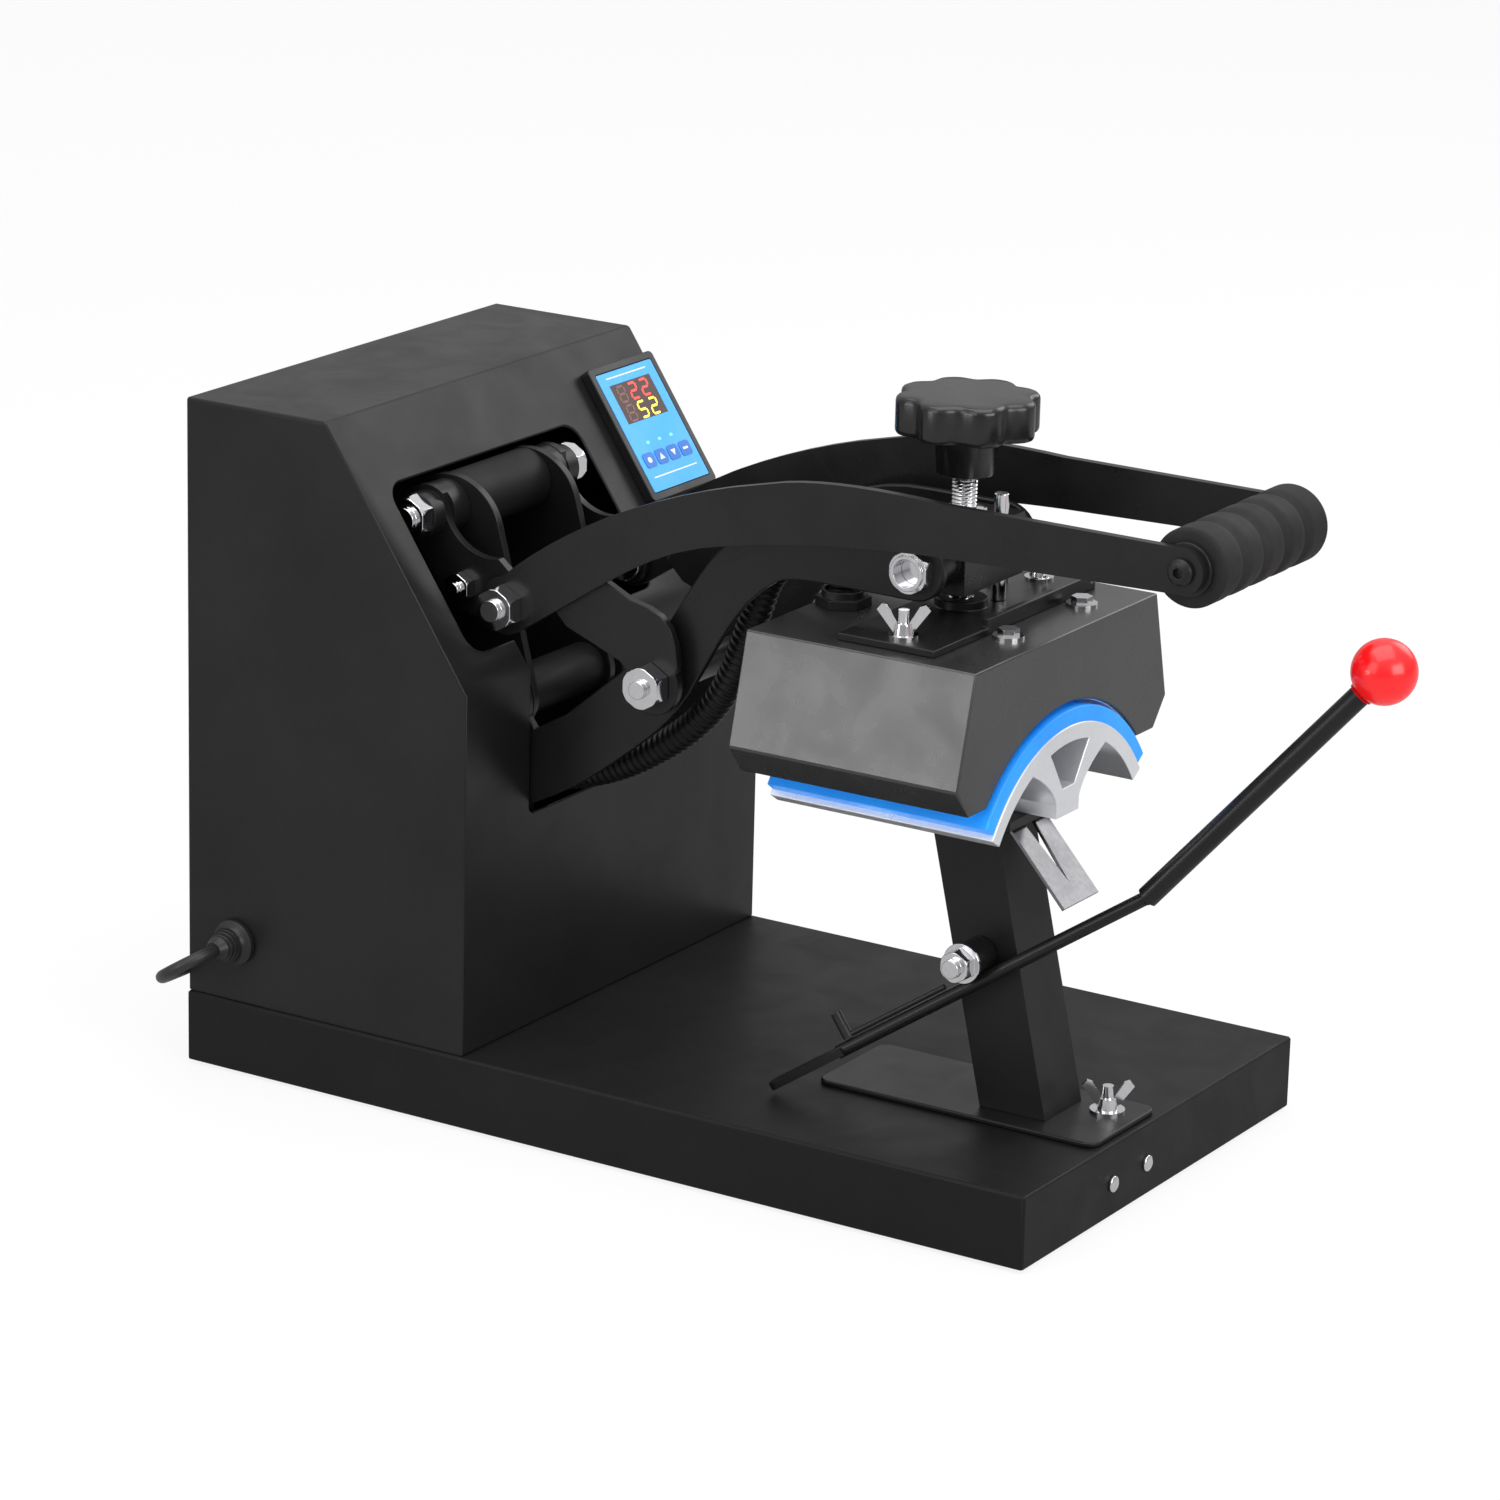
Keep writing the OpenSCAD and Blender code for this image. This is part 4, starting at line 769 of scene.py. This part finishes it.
def buildSiliconePad(p):
    # a rounded strip section carried round the arch; the long edges are softly rounded
    angle = np.radians(np.linspace(-p["half"], p["half"], p["steps"]))[:, None]
    lo, hi, y0, y1, e = p["inner"], p["outer"], p["front"], p["back"], p["edge"]
    corner = np.radians(np.array([0, 30, 60, 90]))
    section = []
    for cy, cr, start in ((y1 - e, hi - e, 0), (y0 + e, hi - e, 90)):
        turn = corner + math.radians(start)
        section += [(cy + e * math.cos(t), cr + e * math.sin(t)) for t in turn]
    section = np.array(section + [(y0, lo), (y1, lo)])
    x = p["centre"][0] + section[None, :, 1] * np.sin(angle)
    z = p["centre"][1] + section[None, :, 1] * np.cos(angle)
    y = np.broadcast_to(section[None, :, 0], x.shape)
    mesh = faceOutwards(gridMesh("siliconePad", np.stack([x, y, z], axis=-1) * mm))
    piece = addPiece("siliconePad", mesh, "frame", "blueSilicone", ["silicone_pad"],
                     sharpDegrees=50)


buildSiliconePad(padSet)
print("knob, ball, foam, rubber and gland are made")


# ribbed conduit
conduitSet = {
    "x": -60.0,
    "guides": [[34, 131.5], [10, 137], [-20, 144], [-46, 154.5], [-70, 169], [-88, 183], [-103, 199.5],
               [-113, 217], [-120, 236], [-126.5, 254], [-135, 275], [-151, 291], [-170, 294], [-179, 284],
               [-180, 274]],
    "outer": 8.5, "depth": 1.15, "ribs": 72, "sides": 22,
}


def buildConduit(c):
    # the radius along the hose is a row of rounded ribs with flat valleys
    guides = [(c["x"], layout["frontFace"] + g[0], layout["panTop"] + g[1]) for g in c["guides"]]
    path = smoothPath(guides, c["ribs"] * 10 + 1)
    t = np.linspace(0, c["ribs"], len(path))
    radius = c["outer"] - c["depth"] * np.clip(0.5 - 0.8 * np.cos(t * tau), 0, 1)
    mesh = tubeMesh("ribbedConduit", path, radius, c["sides"])
    addPiece("ribbedConduit", mesh, "head_arm", "conduitPlastic", ["conduit"],
             sharpDegrees=70)


buildConduit(conduitSet)
print("conduit is made")


# display and keys
panelSet = {
    "x": 114.0, "down": 61.0, "windowY": 17.0, "windowTop": 5.8, "skinTop": 5.9, "inkHigh": 0.06,
    "digitHigh": 9.4, "digitWide": 6.8, "stroke": 1.35, "gap": 11.6, "slant": 0.12, "trim": 0.3,
    "digitThick": 0.08, "firstDigit": -16.2, "upperRow": 1.0, "lowerRow": -11.0,
    "lampsAt": (-12.0, 0.0, 12.0), "lampRow": -8.5, "lampSize": (2.4, 1.4, 0.6), "lampHigh": 0.12,
    "keysAt": (-18.5, -6.2, 6.2, 18.5), "keyRow": -18.5, "keySize": (10.5, 9.0, 2.2), "keyHigh": 0.35,
}
# which of the seven bars each digit lights
segments = {"2": "abged", "5": "afgcd", "8": "abcdefg"}


def slopeMatrix(p):
    # panel coordinates: x across, y up the slope, z away from it
    run = layout["slopeTop"][0] - layout["slopeFoot"][0]
    rise = layout["slopeTop"][1] - layout["slopeFoot"][1]
    tilt = math.atan2(rise, run)
    place = Matrix.Translation((p["x"], layout["slopeTop"][0], layout["slopeTop"][1]))
    return place @ Matrix.Rotation(tilt, 4, "X") @ Matrix.Translation((0, -p["down"], 0))


def flatPrism(outline, low, high):
    # a thin solid from an outline in panel coordinates
    outline = np.array(outline, float)
    n = len(outline)
    bottom = np.hstack([outline, np.full((n, 1), low)])
    top = np.hstack([outline, np.full((n, 1), high)])
    faces = [list(range(n))[::-1], list(range(n, 2 * n))]
    faces += [[i, (i + 1) % n, n + (i + 1) % n, n + i] for i in range(n)]
    return np.vstack([bottom, top]), faces


def panelMesh(name, shapes, p):
    placed = slopeMatrix(p)
    meshes = []
    for outline, low, high in shapes:
        points, faces = flatPrism(outline, low, high)
        points = [placed @ Vector(q) * mm for q in points]
        mesh = bpy.data.meshes.new(name)
        mesh.from_pydata(points, [], faces)
        meshes.append(faceOutwards(mesh))
    return joinMeshes(name, meshes)


def digitShapes(text, left, low, p):
    h, w, s = p["digitHigh"], p["digitWide"], p["stroke"] / 2
    bars = {"a": ((0, h), (w, h)), "g": ((0, h / 2), (w, h / 2)), "d": ((0, 0), (w, 0)),
            "f": ((0, h / 2), (0, h)), "e": ((0, 0), (0, h / 2)), "b": ((w, h / 2), (w, h)),
            "c": ((w, 0), (w, h / 2))}
    shapes = []
    for k, letter in enumerate(text):
        for key in segments[letter]:
            (x0, y0), (x1, y1) = bars[key]
            along = np.array([x1 - x0, y1 - y0]) / math.hypot(x1 - x0, y1 - y0)
            across = np.array([-along[1], along[0]]) * s
            a = np.array([x0, y0]) + along * p["trim"]
            b = np.array([x1, y1]) - along * p["trim"]
            outline = np.array([a, a + along * s + across, b - along * s + across, b,
                                b - along * s - across, a + along * s - across])
            outline[:, 0] += p["slant"] * outline[:, 1]
            shapes.append((outline + [left + k * p["gap"], low], p["windowTop"],
                           p["windowTop"] + p["digitThick"]))
    return shapes


def roundedBox(cx, cy, w, h, r, steps=5):
    turn = np.radians(np.linspace(0, 90, steps))
    out = []
    for sx, sy, start in ((1, 1, 0), (-1, 1, 90), (-1, -1, 180), (1, -1, 270)):
        t = turn + math.radians(start)
        out.append(np.stack([cx + sx * (w / 2 - r) + r * np.cos(t),
                             cy + sy * (h / 2 - r) + r * np.sin(t)], axis=1))
    return np.vstack(out)


def addPanelPiece(name, shapes, p, finish):
    addPiece(name, panelMesh(name, shapes, p), "frame", finish, smooth=False)


def buildPanel(p):
    left, second = p["firstDigit"], p["firstDigit"] + p["gap"]
    upper, lower = p["windowY"] + p["upperRow"], p["windowY"] + p["lowerRow"]
    ghost = digitShapes("8", left, upper, p) + digitShapes("8", left, lower, p)
    addPanelPiece("ghostDigits", ghost, p, "ghostDigits")
    addPanelPiece("redDigits", digitShapes("22", second, upper, p), p, "redDigits")
    addPanelPiece("yellowDigits", digitShapes("52", second, lower, p), p, "yellowDigits")
    low = p["skinTop"]
    leds = [(roundedBox(x, p["lampRow"], *p["lampSize"]), low, low + p["lampHigh"]) for x in p["lampsAt"]]
    addPanelPiece("statusLamps", leds, p, "greenLamp")
    row, high = p["keyRow"], low + p["keyHigh"]
    keys = [(roundedBox(x, row, *p["keySize"]), low, high) for x in p["keysAt"]]
    addPanelPiece("membraneKeys", keys, p, "deepBlueInk")
    # generic signs on the keys, in the order of the keys, then a thin line above and one below
    ring, up, down, bar = p["keysAt"]
    signs = [roundedBox(ring, row, 3.6, 3.6, 1.7),
             np.array([(up - 2.4, -20.2), (up + 2.4, -20.2), (up, -16.4)]),
             np.array([(down + 2.4, -16.8), (down - 2.4, -16.8), (down, -20.6)]),
             roundedBox(bar, row, 5.0, 1.4, 0.6)]
    lines = [roundedBox(0, 33.6, 40, 0.7, 0.3), roundedBox(0, -29, 44, 0.7, 0.3)]
    marks = [(shape, high, high + p["inkHigh"]) for shape in signs]
    marks += [(shape, low, low + p["inkHigh"]) for shape in lines]
    addPanelPiece("keyMarks", marks, p, "whiteInk")


buildPanel(panelSet)
print("control panel is made")
